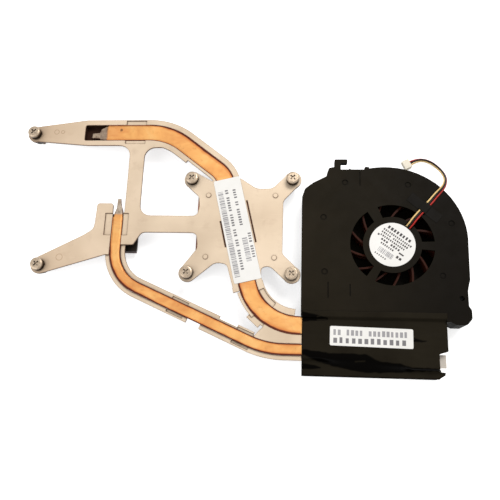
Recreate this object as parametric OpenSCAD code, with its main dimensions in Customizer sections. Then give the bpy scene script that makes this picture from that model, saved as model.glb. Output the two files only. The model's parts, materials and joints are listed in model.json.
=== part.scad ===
// Laptop processor heat sink: two flattened heat pipes held by stamped sheet
// brackets, spring screws, a fin stack wrapped in film and a radial blower.
// Millimetres. The origin lies on the processor cold plate's contact face,
// midway between its four screws, and +Z points away from the processor.

/* [Processor mounting] */
// Screw spacing across, along X
socket_pitch_x = 55.2; // [50:0.2:62]
// Screw spacing along Y
socket_pitch_y = 52.9; // [50:0.1:60]
// Width of the processor cold plate
cold_plate_w = 46; // [38:0.5:48]
// Place of the cold plate's middle along X
cold_plate_x = -1; // [-1.5:0.1:1]
// Depth of the processor cold plate
cold_plate_d = 39; // [36:0.5:42]
// Width of the bracket's middle over the cold plate
spider_w = 45.4; // [44:0.2:48]

/* [Outer screws] */
// Place of the upper outer screw along X
upper_screw_x = -120.8; // [-130:0.2:-110]
// Place of the upper outer screw along Y
upper_screw_y = 54.4; // [53:0.2:57]
// Place of the lower outer screw along X
lower_screw_x = -109.2; // [-120:0.2:-100]
// Place of the lower outer screw along Y
lower_screw_y = -23.2; // [-26:0.2:-20]
// Radius of the sheet round each screw
lug_r = 4.7; // [4.4:0.1:5.2]

/* [Sheet brackets] */
// Thickness of the bracket sheet
sheet_t = 1; // [0.8:0.1:1.2]
// Height of the main bracket's underside
sheet_z = 4; // [3.8:0.1:4.4]
// Width of the upright bar of the main bracket
upright_w = 8.5; // [6:0.5:10]
// Width of the level bar of the main bracket
level_w = 9.6; // [8:0.2:11]
// Width of the full rail beside the wide pipe
rail_w = 3.1; // [2.5:0.1:4]
// Width of the thin lip beside a pipe
lip_w = 1.5; // [1:0.1:2]
// Width of the rails beside the narrow pipe
branch_rail_w = 2.4; // [2:0.1:3]

/* [Wide heat pipe] */
// Width of the wide pipe
wide_w = 9.4; // [7.5:0.1:9.8]
// Thickness of both flattened pipes
pipe_t = 3.8; // [3:0.1:4]
// Gap between a pipe and the sheet beside it
pipe_gap = 0.1; // [0.05:0.05:0.6]
// Place along Y of the wide pipe's first run
wide_run_y = 55.3; // [54:0.1:57]
// Bend radius of the wide pipe's first bend
wide_bend_1 = 33; // [26:1:36]
// Bend radius of the wide pipe's second bend
wide_bend_2 = 16; // [12:1:18]
// Bend radius of the wide pipe's last bend
wide_bend_3 = 27.5; // [24:0.5:28]

/* [Narrow heat pipe] */
// Width of the narrow pipe
narrow_w = 5.8; // [4.6:0.1:6.2]
// Place along X of the narrow pipe's first run
narrow_run_x = -68.1; // [-70:0.1:-66]
// Bend radius of the narrow pipe's first bend
narrow_bend_1 = 22.5; // [18:0.5:23]
// Bend radius of the narrow pipe's last bend
narrow_bend_2 = 45; // [35:1:50]

/* [Graphics cold plate] */
// Width of the graphics cold plate
gpu_plate_w = 24.8; // [22:0.2:28]
// Depth of the graphics cold plate
gpu_plate_d = 17.8; // [15:0.1:20]
// Thickness of the graphics cold plate
gpu_plate_t = 1.8; // [1.4:0.1:2.4]
// Thickness of the thermal pad under it
thermal_pad_t = 1.4; // [0.8:0.1:1.6]

/* [Spring screws] */
// Diameter of the screw head
screw_head_d = 6.9; // [6:0.1:7.2]
// Diameter of the screw's shank
screw_d = 2.3; // [2:0.1:2.5]
// Distance the screws can be pressed down
screw_travel = 1; // [0.6:0.1:1.1]
// Free height of the springs
spring_h = 2.7; // [2.6:0.1:3.2]
// Wire diameter of the springs
spring_wire_d = 0.5; // [0.4:0.05:0.55]
// Length of the collar under the sheet
collar_h = 5.5; // [4.5:0.1:6]
// Length of screw that stands out of the collar
screw_tip_h = 4.5; // [3.5:0.1:4.7]

/* [Fan] */
// Place of the fan's axis along X
fan_x = 79.6; // [78:0.2:82]
// Gap between the fan casing and the sheet round the screws beside it
casing_gap = 0.4; // [0.3:0.1:0.8]
// Place of the fan's axis along Y
fan_y = -10; // [-11:0.2:-8]
// Height of the fan casing
fan_h = 13; // [12:0.2:14]
// Height of the casing's underside
fan_z = -6; // [-6.4:0.1:-5.6]
// Thickness of the casing's walls
wall = 1.2; // [1:0.1:1.6]
// Thickness of the cover and the floor
plate_t = 1; // [0.8:0.1:1.3]
// Radius of the air inlet
inlet_r = 21.7; // [20:0.1:23]
// Radius of the motor seat in the inlet
seat_r = 15.1; // [14.6:0.1:16]
// Number of impeller blades
blade_n = 13; // [7:1:17]
// Radius of the impeller over its blades
blade_tip_r = 28; // [26:0.5:30]
// Thickness of a blade
blade_t = 1; // [0.7:0.1:1.3]

/* [Fin stack] */
// Width of the fin stack
fins_w = 66; // [60:1:67]
// Depth of the fin stack, along the air's way
fins_d = 27.6; // [24:0.2:28.4]
// Distance from fin to fin
fin_pitch = 1.65; // [1.5:0.05:2.4]
// Thickness of a fin
fin_t = 0.3; // [0.2:0.05:0.4]
// Thickness of the film round the duct
film_t = 0.25; // [0.15:0.05:0.3]

/* [Fan lead] */
// Diameter of one wire over its sleeve
wire_d = 0.9; // [0.8:0.05:1]
// Width of the plug
plug_w = 5; // [4.6:0.1:5.6]

/* [Hidden] */
$fn = 64;
tiny = 0.01;

// Heights shared by several pieces
sheet_top = sheet_z + sheet_t;
pipe_z = 1;
pipe_top = pipe_z + pipe_t;
fan_top = fan_z + fan_h;
pipe_mid_z = pipe_z + pipe_t / 2;

// Screw places: the four round the processor, then the two outer ones
half_x = socket_pitch_x / 2;
half_y = socket_pitch_y / 2;
upper_screw = [upper_screw_x, upper_screw_y];
lower_screw = [lower_screw_x, lower_screw_y];
SCREWS = [
    [-half_x, half_y], [half_x, half_y], [-half_x, -half_y], [half_x, -half_y],
    upper_screw, lower_screw
];

// Plane geometry of paths and rounded outlines
function unit(v) = v / norm(v);
function left_of(v) = [-v[1], v[0]];
function xy(p) = [p[0], p[1]];
function heading(p, q) = unit(xy(q) - xy(p));
function turn(p, q, s) =
    let (a = heading(p, q), b = heading(q, s))
    atan2(a[0] * b[1] - a[1] * b[0], a * b);
function cut_back(p, q, s) = len(q) < 3 ? 0 : q[2] * tan(abs(turn(p, q, s)) / 2);
function arc_centre(p, q, s) =
    let (a = heading(p, q), side = sign(turn(p, q, s)))
    xy(q) - a * cut_back(p, q, s) + left_of(a) * side * q[2];

// Points of one rounded corner q between p and s
function corner(p, q, s, steps) =
    len(q) < 3 || q[2] == 0 || turn(p, q, s) == 0 ? [xy(q)] :
    let (
        side = sign(turn(p, q, s)),
        c = arc_centre(p, q, s),
        a = heading(p, q),
        start = -left_of(a) * side * q[2]
    )
    [for (i = [0:steps])
        let (t = turn(p, q, s) * i / steps)
        c + [start[0] * cos(t) - start[1] * sin(t), start[0] * sin(t) + start[1] * cos(t)]];

// Closed outline from [x, y, radius] corners
function rounded(pts, steps = 6) =
    let (n = len(pts))
    [for (i = [0:n - 1]) each corner(pts[(i + n - 1) % n], pts[i], pts[(i + 1) % n], steps)];

// Open path from [x, y, radius] corners
function smooth(path, steps = 14) =
    [for (i = [0:len(path) - 1])
        each (i == 0 || i == len(path) - 1) ? [xy(path[i])]
            : corner(path[i - 1], path[i], path[i + 1], steps)];
function side_at(line, i) =
    let (
        n = len(line) - 1,
        a = i == 0 ? heading(line[0], line[1]) : heading(line[i - 1], line[i]),
        b = i == n ? a : heading(line[i], line[i + 1]),
        m = unit(a + b)
    )
    left_of(m) / (m * a);
function shifted(line, d) = [for (i = [0:len(line) - 1]) line[i] + side_at(line, i) * d];
function backwards(v) = [for (i = [len(v) - 1:-1:0]) v[i]];

// Strip beside a path, from offset d1 to offset d2, positive to the left
module strip(line, d1, d2) {
    polygon(concat(shifted(line, d1), backwards(shifted(line, d2))));
}

// Round end of sheet about a screw
module lug_round(at) {
    polygon([for (a = [4:9:355]) at + lug_r * [cos(a), sin(a)]]);
}

// Flat band of sheet in the plane of the main bracket
module sheet(z = sheet_z, t = sheet_t) {
    translate([0, 0, z]) linear_extrude(t) children();
}

// The casing stands beside the right-hand processor screws, the duct below it
casing_left = half_x + lug_r + casing_gap;
duct_x = casing_left + 0.5;
fins_x0 = duct_x + 1.2;
fin_n = floor(fins_w / fin_pitch);
fins_x1 = fins_x0 + fin_n * fin_pitch;

// Courses of the two pipes, as [x, y, bend radius]
wide_start_x = -78.6;
wide_corner_1 = [-42.9, wide_run_y, wide_bend_1];
wide_corner_2 = [-10.1, 29.6, wide_bend_2];
wide_out_y = -52.8;
wide_corner_3 = [9.7, wide_out_y, wide_bend_3];
WIDE = [[wide_start_x, wide_run_y], wide_corner_1, wide_corner_2, wide_corner_3, [fins_x1 + 3.2, wide_out_y]];
narrow_start_y = 4.5;
narrow_corner_1 = [narrow_run_x, -28.6, narrow_bend_1];
narrow_out_y = -65;
narrow_corner_2 = [14.6, narrow_out_y, narrow_bend_2];
NARROW = [[narrow_run_x, narrow_start_y], narrow_corner_1, narrow_corner_2, [fins_x1 - 0.5, narrow_out_y]];
wide_slot = wide_w / 2 + pipe_gap;
narrow_slot = narrow_w / 2 + pipe_gap;
slot_end_x = -92;

// Section of a flattened pipe, width w and thickness t, with its corners rounded
function pipe_ring(w, t) =
    let (r = t * 0.3)
    [for (c = [[1, -1, -90], [1, 1, 0], [-1, 1, 90], [-1, -1, 180]], a = [0:30:90])
        [c[0] * (w / 2 - r) + r * cos(c[2] + a), c[1] * (t / 2 - r) + r * sin(c[2] + a)]];

// Flattened pipe along a path, with its crimped end before the first point.
// Each step of the crimp is [distance before the path, width, thickness, shift]
module flat_pipe(path, w, crimp) {
    line = smooth(path);
    first = heading(line[0], line[1]);
    rings = concat(
        [for (c = crimp) [line[0] - first * c[0] - left_of(first) * c[3], left_of(first), c[1], c[2]]],
        [for (i = [0:len(line) - 1]) [line[i], side_at(line, i), w, pipe_t]]);
    sides = len(pipe_ring(w, pipe_t));
    n = len(rings);
    pts = [for (r = rings, q = pipe_ring(r[2], r[3]))
        [r[0][0] - r[1][0] * q[0], r[0][1] - r[1][1] * q[0], pipe_mid_z + q[1]]];
    skin = [for (i = [0:n - 2], k = [0:sides - 1])
        let (m = (k + 1) % sides)
        [i * sides + k, i * sides + m, (i + 1) * sides + m, (i + 1) * sides + k]];
    caps = [[for (k = [sides - 1:-1:0]) k], [for (k = [0:sides - 1]) (n - 1) * sides + k]];
    polyhedron(pts, concat(skin, caps), convexity = 8);
}

// Sheet cradle that dips under a pipe: the sheet falls, passes under and rises
module cradle(at, angle, along, slot) {
    outside = slot + sheet_t;
    translate([at[0], at[1], 0]) rotate([0, 0, angle]) {
        difference() {
            translate([-along / 2, -outside, 0]) cube([along, 2 * outside, sheet_top - dip]);
            translate([-along / 2 - 1, -slot, sheet_t]) cube([along + 2, 2 * slot, sheet_top]);
        }
    }
}
// Shallow pocket pressed in the sheet beside a cradle
dip = 0.45;
module cradle_pocket(at, angle, along, slot, left, right) {
    translate([at[0], at[1], sheet_top - dip]) rotate([0, 0, angle])
        translate([-along / 2, -slot - right, 0]) cube([along, 2 * slot + left + right, sheet_t]);
}
// Pocket that follows the wide pipe's last bend, between two angles and two radii
module bend_pocket(from, to, r0, r1) {
    step = (to - from) / 5;
    sheet(sheet_top - dip) polygon(concat(
        [for (i = [0:5]) wide_arc_3 + r1 * [cos(from + step * i), sin(from + step * i)]],
        [for (i = [5:-1:0]) wide_arc_3 + r0 * [cos(from + step * i), sin(from + step * i)]]));
}

// Places of the cradles: [x, y], angle, length, rim left and right
wide_arc_3 = arc_centre(wide_corner_2, wide_corner_3, WIDE[4]);
function on_arc_3(angle) = wide_arc_3 + wide_bend_3 * [cos(angle), sin(angle)];
cradle_1_x = -62.2;
cradle_1_l = 11.6;
cradle_2_angle = 228;
cradle_2_l = 8;
cradle_3_y = 0.5;
cradle_3_l = 12.5;
diagonal = heading(narrow_corner_1, narrow_corner_2);
diagonal_angle = atan2(diagonal[1], diagonal[0]);
function on_diagonal(x) = xy(narrow_corner_1) + diagonal * (x - narrow_corner_1[0]) / diagonal[0];
cradle_4_x = -31.8;
cradle_5_x = 3;
cradle_45_l = 9.5;

// Bars of the main bracket
upright_x0 = narrow_run_x + 3.5;
upright_x1 = upright_x0 + upright_w;
level_y1 = 5.6;
level_y0 = level_y1 - level_w;
full_rail = wide_slot + rail_w;
lip_rail = wide_slot + lip_w;

WIDE_LINE = smooth(WIDE);
NARROW_LINE = smooth(NARROW);

// Part of a path's points between two counts
function part_of(line, from, to) = [for (i = [from:to]) line[i]];

// Points along the wide pipe: 15 points stand on each bend
bend_1_end = 15;
bend_2_start = 16;
bend_2_end = 30;
bend_3_start = 31;
bend_3_end = 45;

module main_outline() {
    // upper arm out to its screw
    polygon(rounded([[upper_screw_x - 0.4, upper_screw_y + lug_r], [-91.3, wide_run_y + full_rail, 10],
        [-60, wide_run_y + full_rail], [-60, wide_run_y - full_rail], [-89.6, wide_run_y - full_rail, 10],
        [upper_screw_x + 1.5, upper_screw_y - lug_r + 0.3]]));
    lug_round(upper_screw);
    // rails round the wide pipe as far as the processor
    strip(concat([[-60, wide_run_y]], part_of(WIDE_LINE, 1, bend_3_start)), 0, full_rail);
    strip(concat([[-60, wide_run_y]], part_of(WIDE_LINE, 1, bend_1_end),
        [WIDE_LINE[bend_1_end] + [6.6, -5.2]]), -full_rail, 0);
    strip(part_of(WIDE_LINE, bend_1_end, bend_3_start + 1), -lip_rail, 0);
    // upright bar with its fillets
    upright_top = wide_run_y - full_rail;
    polygon(rounded([[upright_x0 - 8, upright_top + 1], [upright_x0 - 8, upright_top],
        [upright_x0, upright_top, 6.5], [upright_x0, level_y1 - 2], [upright_x1, level_y1 - 2],
        [upright_x1, upright_top - 1.5, 6], [upright_x1 + 12, upright_top - 1.2],
        [upright_x1 + 12, upright_top + 1.2], [upright_x1, upright_top + 1]]));
    // junction, level bar and their fillets
    polygon(rounded([[narrow_run_x + narrow_slot, level_y1 + 1.3], [upright_x1, level_y1 + 12],
        [upright_x1, level_y1, 6], [-spider_w / 2 - 1.4, level_y1, 3], [-spider_w / 2 - 0.4, level_y1 + 5],
        [-spider_w / 2 + 2, level_y1 + 5], [-spider_w / 2 + 2, level_y0 - 6],
        [-spider_w / 2 - 0.4, level_y0 - 6], [-spider_w / 2 - 1.2, level_y0, 3],
        [upright_x1 + 2, level_y0, 3.5], [upright_x1 - 2.2, level_y0 - 7.1, 1.5],
        [narrow_run_x + narrow_slot, level_y0 - 7.1]]));
    spider_outline();
    // rails of the last bend, beyond the processor
    strip(part_of(WIDE_LINE, bend_3_start, bend_3_end - 1), 0, full_rail + 0.4);
    strip(part_of(WIDE_LINE, bend_3_start, bend_3_start + 1), -full_rail - 0.4, 0);
    strip(part_of(WIDE_LINE, bend_3_start + 1, bend_3_start + 9), -lip_rail, 0);
    web_outline();
}

// Four-armed middle of the main bracket
module spider_outline() {
    mid = spider_w / 2;
    polygon(rounded([
        [-half_x - 3.5, half_y - 3.1], [-mid - 1, half_y - 9.7, 4], [-mid - 0.4, half_y - 14, 3],
        [-mid - 0.4, -half_y + 13.5, 4], [-half_x - 3, -half_y + 3.6],
        [-half_x + 3.2, -half_y - 3.5], [-half_x + 14.8, -half_y + 6.3, 6],
        [-half_x + 20.9, -half_y + 5.2, 3], [-half_x + 25, -half_y - 9],
        [half_x - 15.8, -half_y - 3.5], [half_x - 16, -half_y + 3.4, 2],
        [half_x - 11.8, -half_y + 4.9, 4.4], [half_x - 2.6, -half_y - 3.9],
        [half_x + 3.4, -half_y + 2.9], [mid - 0.1, -half_y + 11.2, 3], [mid - 0.1, half_y - 12, 4],
        [half_x + 3.1, half_y - 3.1], [half_x - 3.4, half_y + 2.9], [half_x - 11, half_y - 4.9, 5],
        [half_x - 19.4, half_y - 5.2, 8], [half_x - 28.6, half_y + 1],
        [-half_x + 14, half_y - 1.5], [-half_x + 10.3, half_y - 0.5, 0.6], [-half_x + 2.8, half_y + 3.7]]));
    for (s = [0:3]) lug_round(SCREWS[s]);
}

// Web of sheet between the two pipes, next to the duct
module web_outline() {
    near_bend = on_arc_3(240);
    polygon(rounded([near_bend - [2.6248, 0.8843], near_bend - [3.9248, 4.4843], near_bend - [6.5248, 6.9843],
        [8.5, -59.2, 0.8], [13.3, -61.6, 3], [19.2, -62.4, 4], [duct_x, -62.2], [duct_x, -53],
        near_bend + [2.3752, -0.8843]]));
}

module arm_outline() {
    // lower arm with its tab, left of the narrow pipe
    x1 = narrow_run_x - narrow_slot;
    polygon(rounded([[lower_screw_x - 1.4, lower_screw_y + lug_r - 0.1], [-86.5, -6, 9], [-80.8, -2.2, 5],
        [-80.3, 12.5, 1.6], [x1, 12.5, 1.6], [x1, -16.8], [x1 - 2.2, -16.8, 1],
        [lower_screw_x + 2, lower_screw_y - lug_r + 0.4]]));
    lug_round(lower_screw);
}

module main_bracket() {
    color([0.87, 0.79, 0.69]) difference() {
        union() {
            difference() {
                sheet() main_outline();
                // slots that the pipes lie in
                sheet(sheet_z - 1, sheet_t + 2) {
                    strip(concat([[slot_end_x + 1, wide_run_y]], part_of(WIDE_LINE, 1, len(WIDE_LINE) - 1)),
                        -wide_slot, wide_slot);
                    translate([slot_end_x + 1, wide_run_y]) polygon(rounded([[-1, -wide_slot, 1],
                        [2, -wide_slot], [2, wide_slot], [-1, wide_slot, 1]]));
                    strip(part_of(NARROW_LINE, 1, len(NARROW_LINE) - 1), -narrow_slot, narrow_slot);
                }
                cradle_pocket([cradle_1_x, wide_run_y], 0, cradle_1_l, wide_slot, 2.6, 2);
                bend_pocket(205, 234.6, wide_bend_3 - wide_slot - 2.8, wide_bend_3 - 1);
                bend_pocket(225, 237.5, wide_bend_3 + 1, wide_bend_3 + wide_slot + 3.1);
                cradle_pocket([narrow_run_x, cradle_3_y], -90, cradle_3_l, narrow_slot, 3, 4);
            }
            difference() {
                sheet() arm_outline();
                cradle_pocket([narrow_run_x, cradle_3_y], -90, cradle_3_l, narrow_slot, 3, 4);
            }
            cradle([cradle_1_x, wide_run_y], 0, cradle_1_l, wide_slot);
            cradle(on_arc_3(cradle_2_angle), cradle_2_angle + 90, cradle_2_l, wide_slot);
            cradle([narrow_run_x, cradle_3_y], -90, cradle_3_l, narrow_slot);
            // shoulders where the wide pipe's second cradle meets the left rail
            cradle_tab(on_arc_3(cradle_2_angle), cradle_2_angle + 90, cradle_2_l);
            stake_marks();
        }
        // relief slits on both sides of the wide pipe, over the cold plate
        relief_slit(-7.3, 26, 41);
        relief_slit(9, 17.6, 41.8);
        screw_holes(SCREWS);
    }
}

// Ledge outside the second cradle, on the outer side of the bend
module cradle_tab(at, angle, along) {
    translate([at[0], at[1], sheet_z - dip]) rotate([0, 0, angle])
        translate([-along / 2, -wide_slot - 3.2, 0]) cube([along, 3.2, sheet_t]);
}

// Small round half-shears that hold the cold plate to the sheet
stake_x = 18.3;
stake_y = 17.4;
module stake_marks() {
    for (sx = [-1, 1], sy = [-1, 1])
        translate([sx * stake_x, sy * stake_y, sheet_top - tiny]) cylinder(r = 1.3, h = 0.35 + tiny);
}

// Narrow slit beside the wide pipe's middle run, at an offset to its left
slit_w = 0.8;
middle_run = heading(wide_corner_2, wide_corner_3);
middle_run_angle = atan2(middle_run[1], middle_run[0]);
module relief_slit(offset, from, to) {
    translate([wide_corner_2[0], wide_corner_2[1], sheet_z - 1]) rotate([0, 0, middle_run_angle])
        translate([from, offset - slit_w / 2, 0]) cube([to - from, slit_w, sheet_t + 2]);
}

collar_neck_r = 2;
module screw_holes(places) {
    for (p = places) translate([p[0], p[1], sheet_z - 1]) cylinder(r = collar_neck_r, h = sheet_t + 2);
}

// Rails of thinner level beside the narrow pipe
module branch_bracket() {
    z = sheet_z - sheet_t;
    rail = narrow_slot + branch_rail_w;
    bend = part_of(NARROW_LINE, 1, 15);
    color([0.87, 0.79, 0.69]) {
        difference() {
            sheet(z) difference() {
                union() {
                    strip(concat([[narrow_run_x, -9]], bend, [on_diagonal(-11)]), 0, rail);
                    strip(concat([[narrow_run_x, -9]], bend, [on_diagonal(-25)]), -rail, 0);
                    strip([on_diagonal(-18), on_diagonal(8)], -rail, 0);
                    strip([on_diagonal(-12), on_diagonal(8)], 0, narrow_slot + 1);
                    strip([on_diagonal(-1.5), on_diagonal(7)], 0, rail);
                    strip(concat([on_diagonal(0)], part_of(NARROW_LINE, 16, 30), [[duct_x, narrow_out_y]]),
                        -rail, 0);
                }
                strip(concat([[narrow_run_x, 0]], part_of(NARROW_LINE, 1, 31)), -narrow_slot, narrow_slot);
            }
            for (x = [cradle_4_x, cradle_5_x])
                translate([0, 0, -sheet_t])
                    cradle_pocket(on_diagonal(x), diagonal_angle, cradle_45_l, narrow_slot, 1.4, 1.4);
        }
        for (x = [cradle_4_x, cradle_5_x]) intersection() {
            cradle(on_diagonal(x), diagonal_angle, cradle_45_l, narrow_slot);
            translate([-200, -200, 0]) cube([400, 400, sheet_z - dip]);
        }
    }
}

module cpu_cold_plate() {
    color([0.72, 0.45, 0.3]) difference() {
        sheet(0, sheet_z) translate([cold_plate_x, 0]) polygon(rounded([
            [-cold_plate_w / 2, -cold_plate_d / 2, 1.5], [cold_plate_w / 2, -cold_plate_d / 2, 1.5],
            [cold_plate_w / 2, cold_plate_d / 2, 1.5], [-cold_plate_w / 2, cold_plate_d / 2, 1.5]]));
        // groove for the wide pipe
        sheet(pipe_z, pipe_t + 1)
            strip(part_of(WIDE_LINE, bend_2_start, bend_3_end), -wide_slot, wide_slot);
    }
}

gpu_x0 = -82.2;
gpu_y1 = 4.2;
module gpu_cold_plate() {
    color([0.35, 0.33, 0.33]) {
        sheet(-gpu_plate_t, gpu_plate_t) polygon(rounded([
            [gpu_x0, gpu_y1 - gpu_plate_d, 1], [gpu_x0 + gpu_plate_w, gpu_y1 - gpu_plate_d, 1],
            [gpu_x0 + gpu_plate_w, gpu_y1, 1], [gpu_x0, gpu_y1, 1]]));
        // lands that carry the sheet on both sides of the pipe, clear of the pipe's cradle
        gpu_land(gpu_x0 + 1, 6);
        gpu_land(land_x, gpu_x0 + gpu_plate_w - 0.8 - land_x);
    }
}
land_x = narrow_run_x + narrow_slot + sheet_t + 0.4;
module gpu_land(x, w) {
    translate([x, gpu_y1 - gpu_plate_d + 5.2, -tiny]) cube([w, 9, sheet_z + tiny]);
}
module gpu_thermal_pad() {
    color([0.62, 0.58, 0.62]) sheet(-gpu_plate_t - thermal_pad_t, thermal_pad_t)
        translate([gpu_x0 + 0.6, gpu_y1 - gpu_plate_d - 0.3]) square([gpu_plate_w - 1.2, gpu_plate_d - 0.6]);
}

// Soft dark pad that closes the end of the wide pipe's slot from below
end_pad_w = wide_slot + 1.2;
end_pad_z = 0.4;
module pipe_end_pad() {
    color([0.13, 0.09, 0.08]) difference() {
        translate([slot_end_x - 1.2, wide_run_y - end_pad_w, end_pad_z])
            cube([18, 2 * end_pad_w, sheet_z - end_pad_z]);
        translate([slot_end_x - 0.2, wide_run_y - wide_slot, pipe_z]) cube([20, 2 * wide_slot, sheet_z]);
    }
}

// The crimped ends step down from the full width to a closed flat tip
wide_crimp = [[9.4, 3, 1, 1.1], [5.2, 3.6, 1.2, 1.05], [4.4, 6.6, 1.4, 0.3],
    [1.4, wide_w - 0.4, pipe_t - 1, 0]];
narrow_crimp = [[11.2, 2, 1, 0.5], [7, 2.6, 1.2, 0.2], [5.4, 3.4, 1.4, 0],
    [2, narrow_w - 0.6, pipe_t - 1, 0]];
module wide_heat_pipe() {
    color([0.9, 0.55, 0.3]) flat_pipe(WIDE, wide_w, wide_crimp);
}

module narrow_heat_pipe() {
    color([0.9, 0.55, 0.3]) flat_pipe(NARROW, narrow_w, narrow_crimp);
}

// Fin stack: folded fins whose flanges meet edge to edge
casing_low = wide_out_y + wide_slot + 0.6;
fins_y1 = casing_low - 1.6;
fins_y0 = fins_y1 - fins_d;
fins_z0 = fan_z + 0.5;
module cooling_fins() {
    fin_h = pipe_z - fins_z0;
    color([0.78, 0.78, 0.8]) for (i = [0:fin_n - 1])
        translate([fins_x0 + i * fin_pitch, fins_y0 + fins_d, fins_z0])
            rotate([90, 0, 0]) linear_extrude(fins_d) difference() {
                square([fin_pitch, fin_h]);
                translate([fin_t, fin_t]) square([fin_pitch, fin_h - 2 * fin_t]);
            }
}
end_foot_y = [narrow_out_y - 7, narrow_out_y - 0.5];
module fin_end_plate() {
    color([0.7, 0.7, 0.7]) {
        translate([fins_x1, fins_y0, fins_z0]) cube([0.8, fins_d, pipe_z - fins_z0]);
        translate([fins_x1, end_foot_y[0], pipe_z - 0.8]) cube([4.8, end_foot_y[1] - end_foot_y[0], 0.8]);
    }
}

// Film that closes the duct over and under the fins
film_top = pipe_top + 0.45;
film_y0 = fins_y0 - 1.1;
flap_l = 4;
flap_y0 = narrow_out_y - 0.4;
module duct_wrap() {
    color([0.06, 0.06, 0.06]) {
        translate([duct_x, 0, 0]) rotate([90, 0, 90]) linear_extrude(fins_x1 - duct_x + 0.6)
            polygon(film_profile());
        // lower sheet, with its far corner cut off
        translate([0, 0, fins_z0 - film_t]) linear_extrude(film_t) polygon([[duct_x, film_y0],
            [fins_x1 + 2.2, film_y0], [fins_x1 + 4, film_y0 + 2.6], [fins_x1 + 4.6, end_foot_y[0]],
            [fins_x1 + 0.6, end_foot_y[0]], [fins_x1 + 0.6, casing_low - 0.8], [duct_x, casing_low - 0.8]]);
        // flap over the end of the wide pipe
        difference() {
            translate([fins_x1 + 0.6, flap_y0, pipe_z])
                cube([flap_l, wide_out_y + 3 - flap_y0, film_top - pipe_z]);
            translate([fins_x1 - 1, flap_y0 + film_t, pipe_z - 1])
                cube([flap_l + 1.6 - film_t, 20, film_top - pipe_z + 1 - film_t]);
        }
    }
}
function film_profile() = [
    [casing_low + 2, fan_top], [casing_low - 0.6, fan_top], [casing_low - 2.4, film_top - film_t],
    [narrow_out_y - narrow_slot - 0.4, film_top - film_t], [film_y0, pipe_z + 0.4],
    [film_y0, pipe_z + 0.4 + film_t], [narrow_out_y - narrow_slot - 0.3, film_top],
    [casing_low - 2.3, film_top], [casing_low - 0.5, fan_top + film_t], [casing_low + 2, fan_top + film_t]
];

module label_plate(at, angle, size, z, t = 0.1) {
    translate([at[0], at[1], z]) rotate([0, 0, angle]) linear_extrude(t)
        polygon(rounded([[-size[0] / 2, -size[1] / 2, 0.8], [size[0] / 2, -size[1] / 2, 0.8],
            [size[0] / 2, size[1] / 2, 0.8], [-size[0] / 2, size[1] / 2, 0.8]]));
}
module pipe_label() {
    at = xy(wide_corner_2) + middle_run * 32.2 + left_of(middle_run) * 0.6;
    color("white") label_plate(at, middle_run_angle, [59, 14.7], sheet_top);
}
module fan_label() {
    color("white") translate([fan_x, fan_y, fan_top]) cylinder(r = 11.8, h = 0.1);
}
module duct_label() {
    color("white")
        label_plate([duct_x + 34.8, (wide_out_y + narrow_out_y) / 2 + 0.9], -1.2, [41.3, 9.8], film_top);
}

// Spiral of the casing: radius of the outer wall at each angle
volute_r0 = 38.4;
volute_rise = 0.053;
function spiral(from, to, step = 5) =
    [for (a = [from:step:to]) [fan_x, fan_y] + (volute_r0 + volute_rise * a) * [cos(a), sin(a)]];

// Points [x, y, radius] given from the fan's axis
function from_fan(pts) = [for (p = pts) [fan_x + p[0], fan_y + p[1], len(p) > 2 ? p[2] : 0]];

// Closed line moved inwards by d, for points that run against the clock
function moved_in(pts, d) =
    let (n = len(pts))
    [for (i = [0:n - 1])
        let (
            a = heading(pts[(i + n - 1) % n], pts[i]),
            b = heading(pts[i], pts[(i + 1) % n]),
            m = unit(a + b)
        )
        pts[i] + left_of(m) / (m * a) * d];

lug_x = fins_x1 + 4.2;
CASING = concat(
    spiral(0, 105),
    smooth(concat(
        from_fan([[-13.6, 41.9], [-33, 41.9, 1.5], [-34, 37.9, 1], [-41.1, 34.2, 6], [-45.4, 30.8, 3]]),
        [[casing_left, fan_y + 26, 3], [casing_left, casing_low]]), 5),
    [[lug_x - 0.9, casing_low], [fan_x + 35.1, casing_low + 8], [fan_x + 38.1, fan_y - 18]]);

// Corner lug that a case screw holds
module casing_lug() {
    low = casing_low;
    polygon(rounded([[lug_x, low], [lug_x + 0.7, low - 2.3], [lug_x + 2.4, low - 2.3, 1],
        [lug_x + 5.2, low - 3.8, 1.5], [lug_x + 10.3, low - 3.8, 2.5], [lug_x + 13, low - 0.5, 2],
        [lug_x + 13, low + 3.8, 2], [lug_x + 11.7, low + 5.9, 1], [lug_x + 11.7, low + 13.4],
        [lug_x + 12.9, low + 20.4], [lug_x, low + 12.4]]));
}
lug_hole = [lug_x + 8.6, casing_low + 9.7];
lug_hole_r = 1.3;

// Posts of the housing, whose heads stand in shallow pits of the cover.
// The first stands as near to the blades as it may.
post_r = 1.3;
near_post_angle = -33.4;
near_post = (blade_tip_r + post_r + 0.3) * [cos(near_post_angle), sin(near_post_angle)];
POSTS = from_fan([near_post, [-24, 34.3], [9.1, 33], [-35.5, 14.7], [-35, -14.9], [30.5, 11.7]]);
pit_r = 1.7;
stake_r = 0.9;

// Wire gap in the rim of the motor seat
wire_angle = 49;

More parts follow.
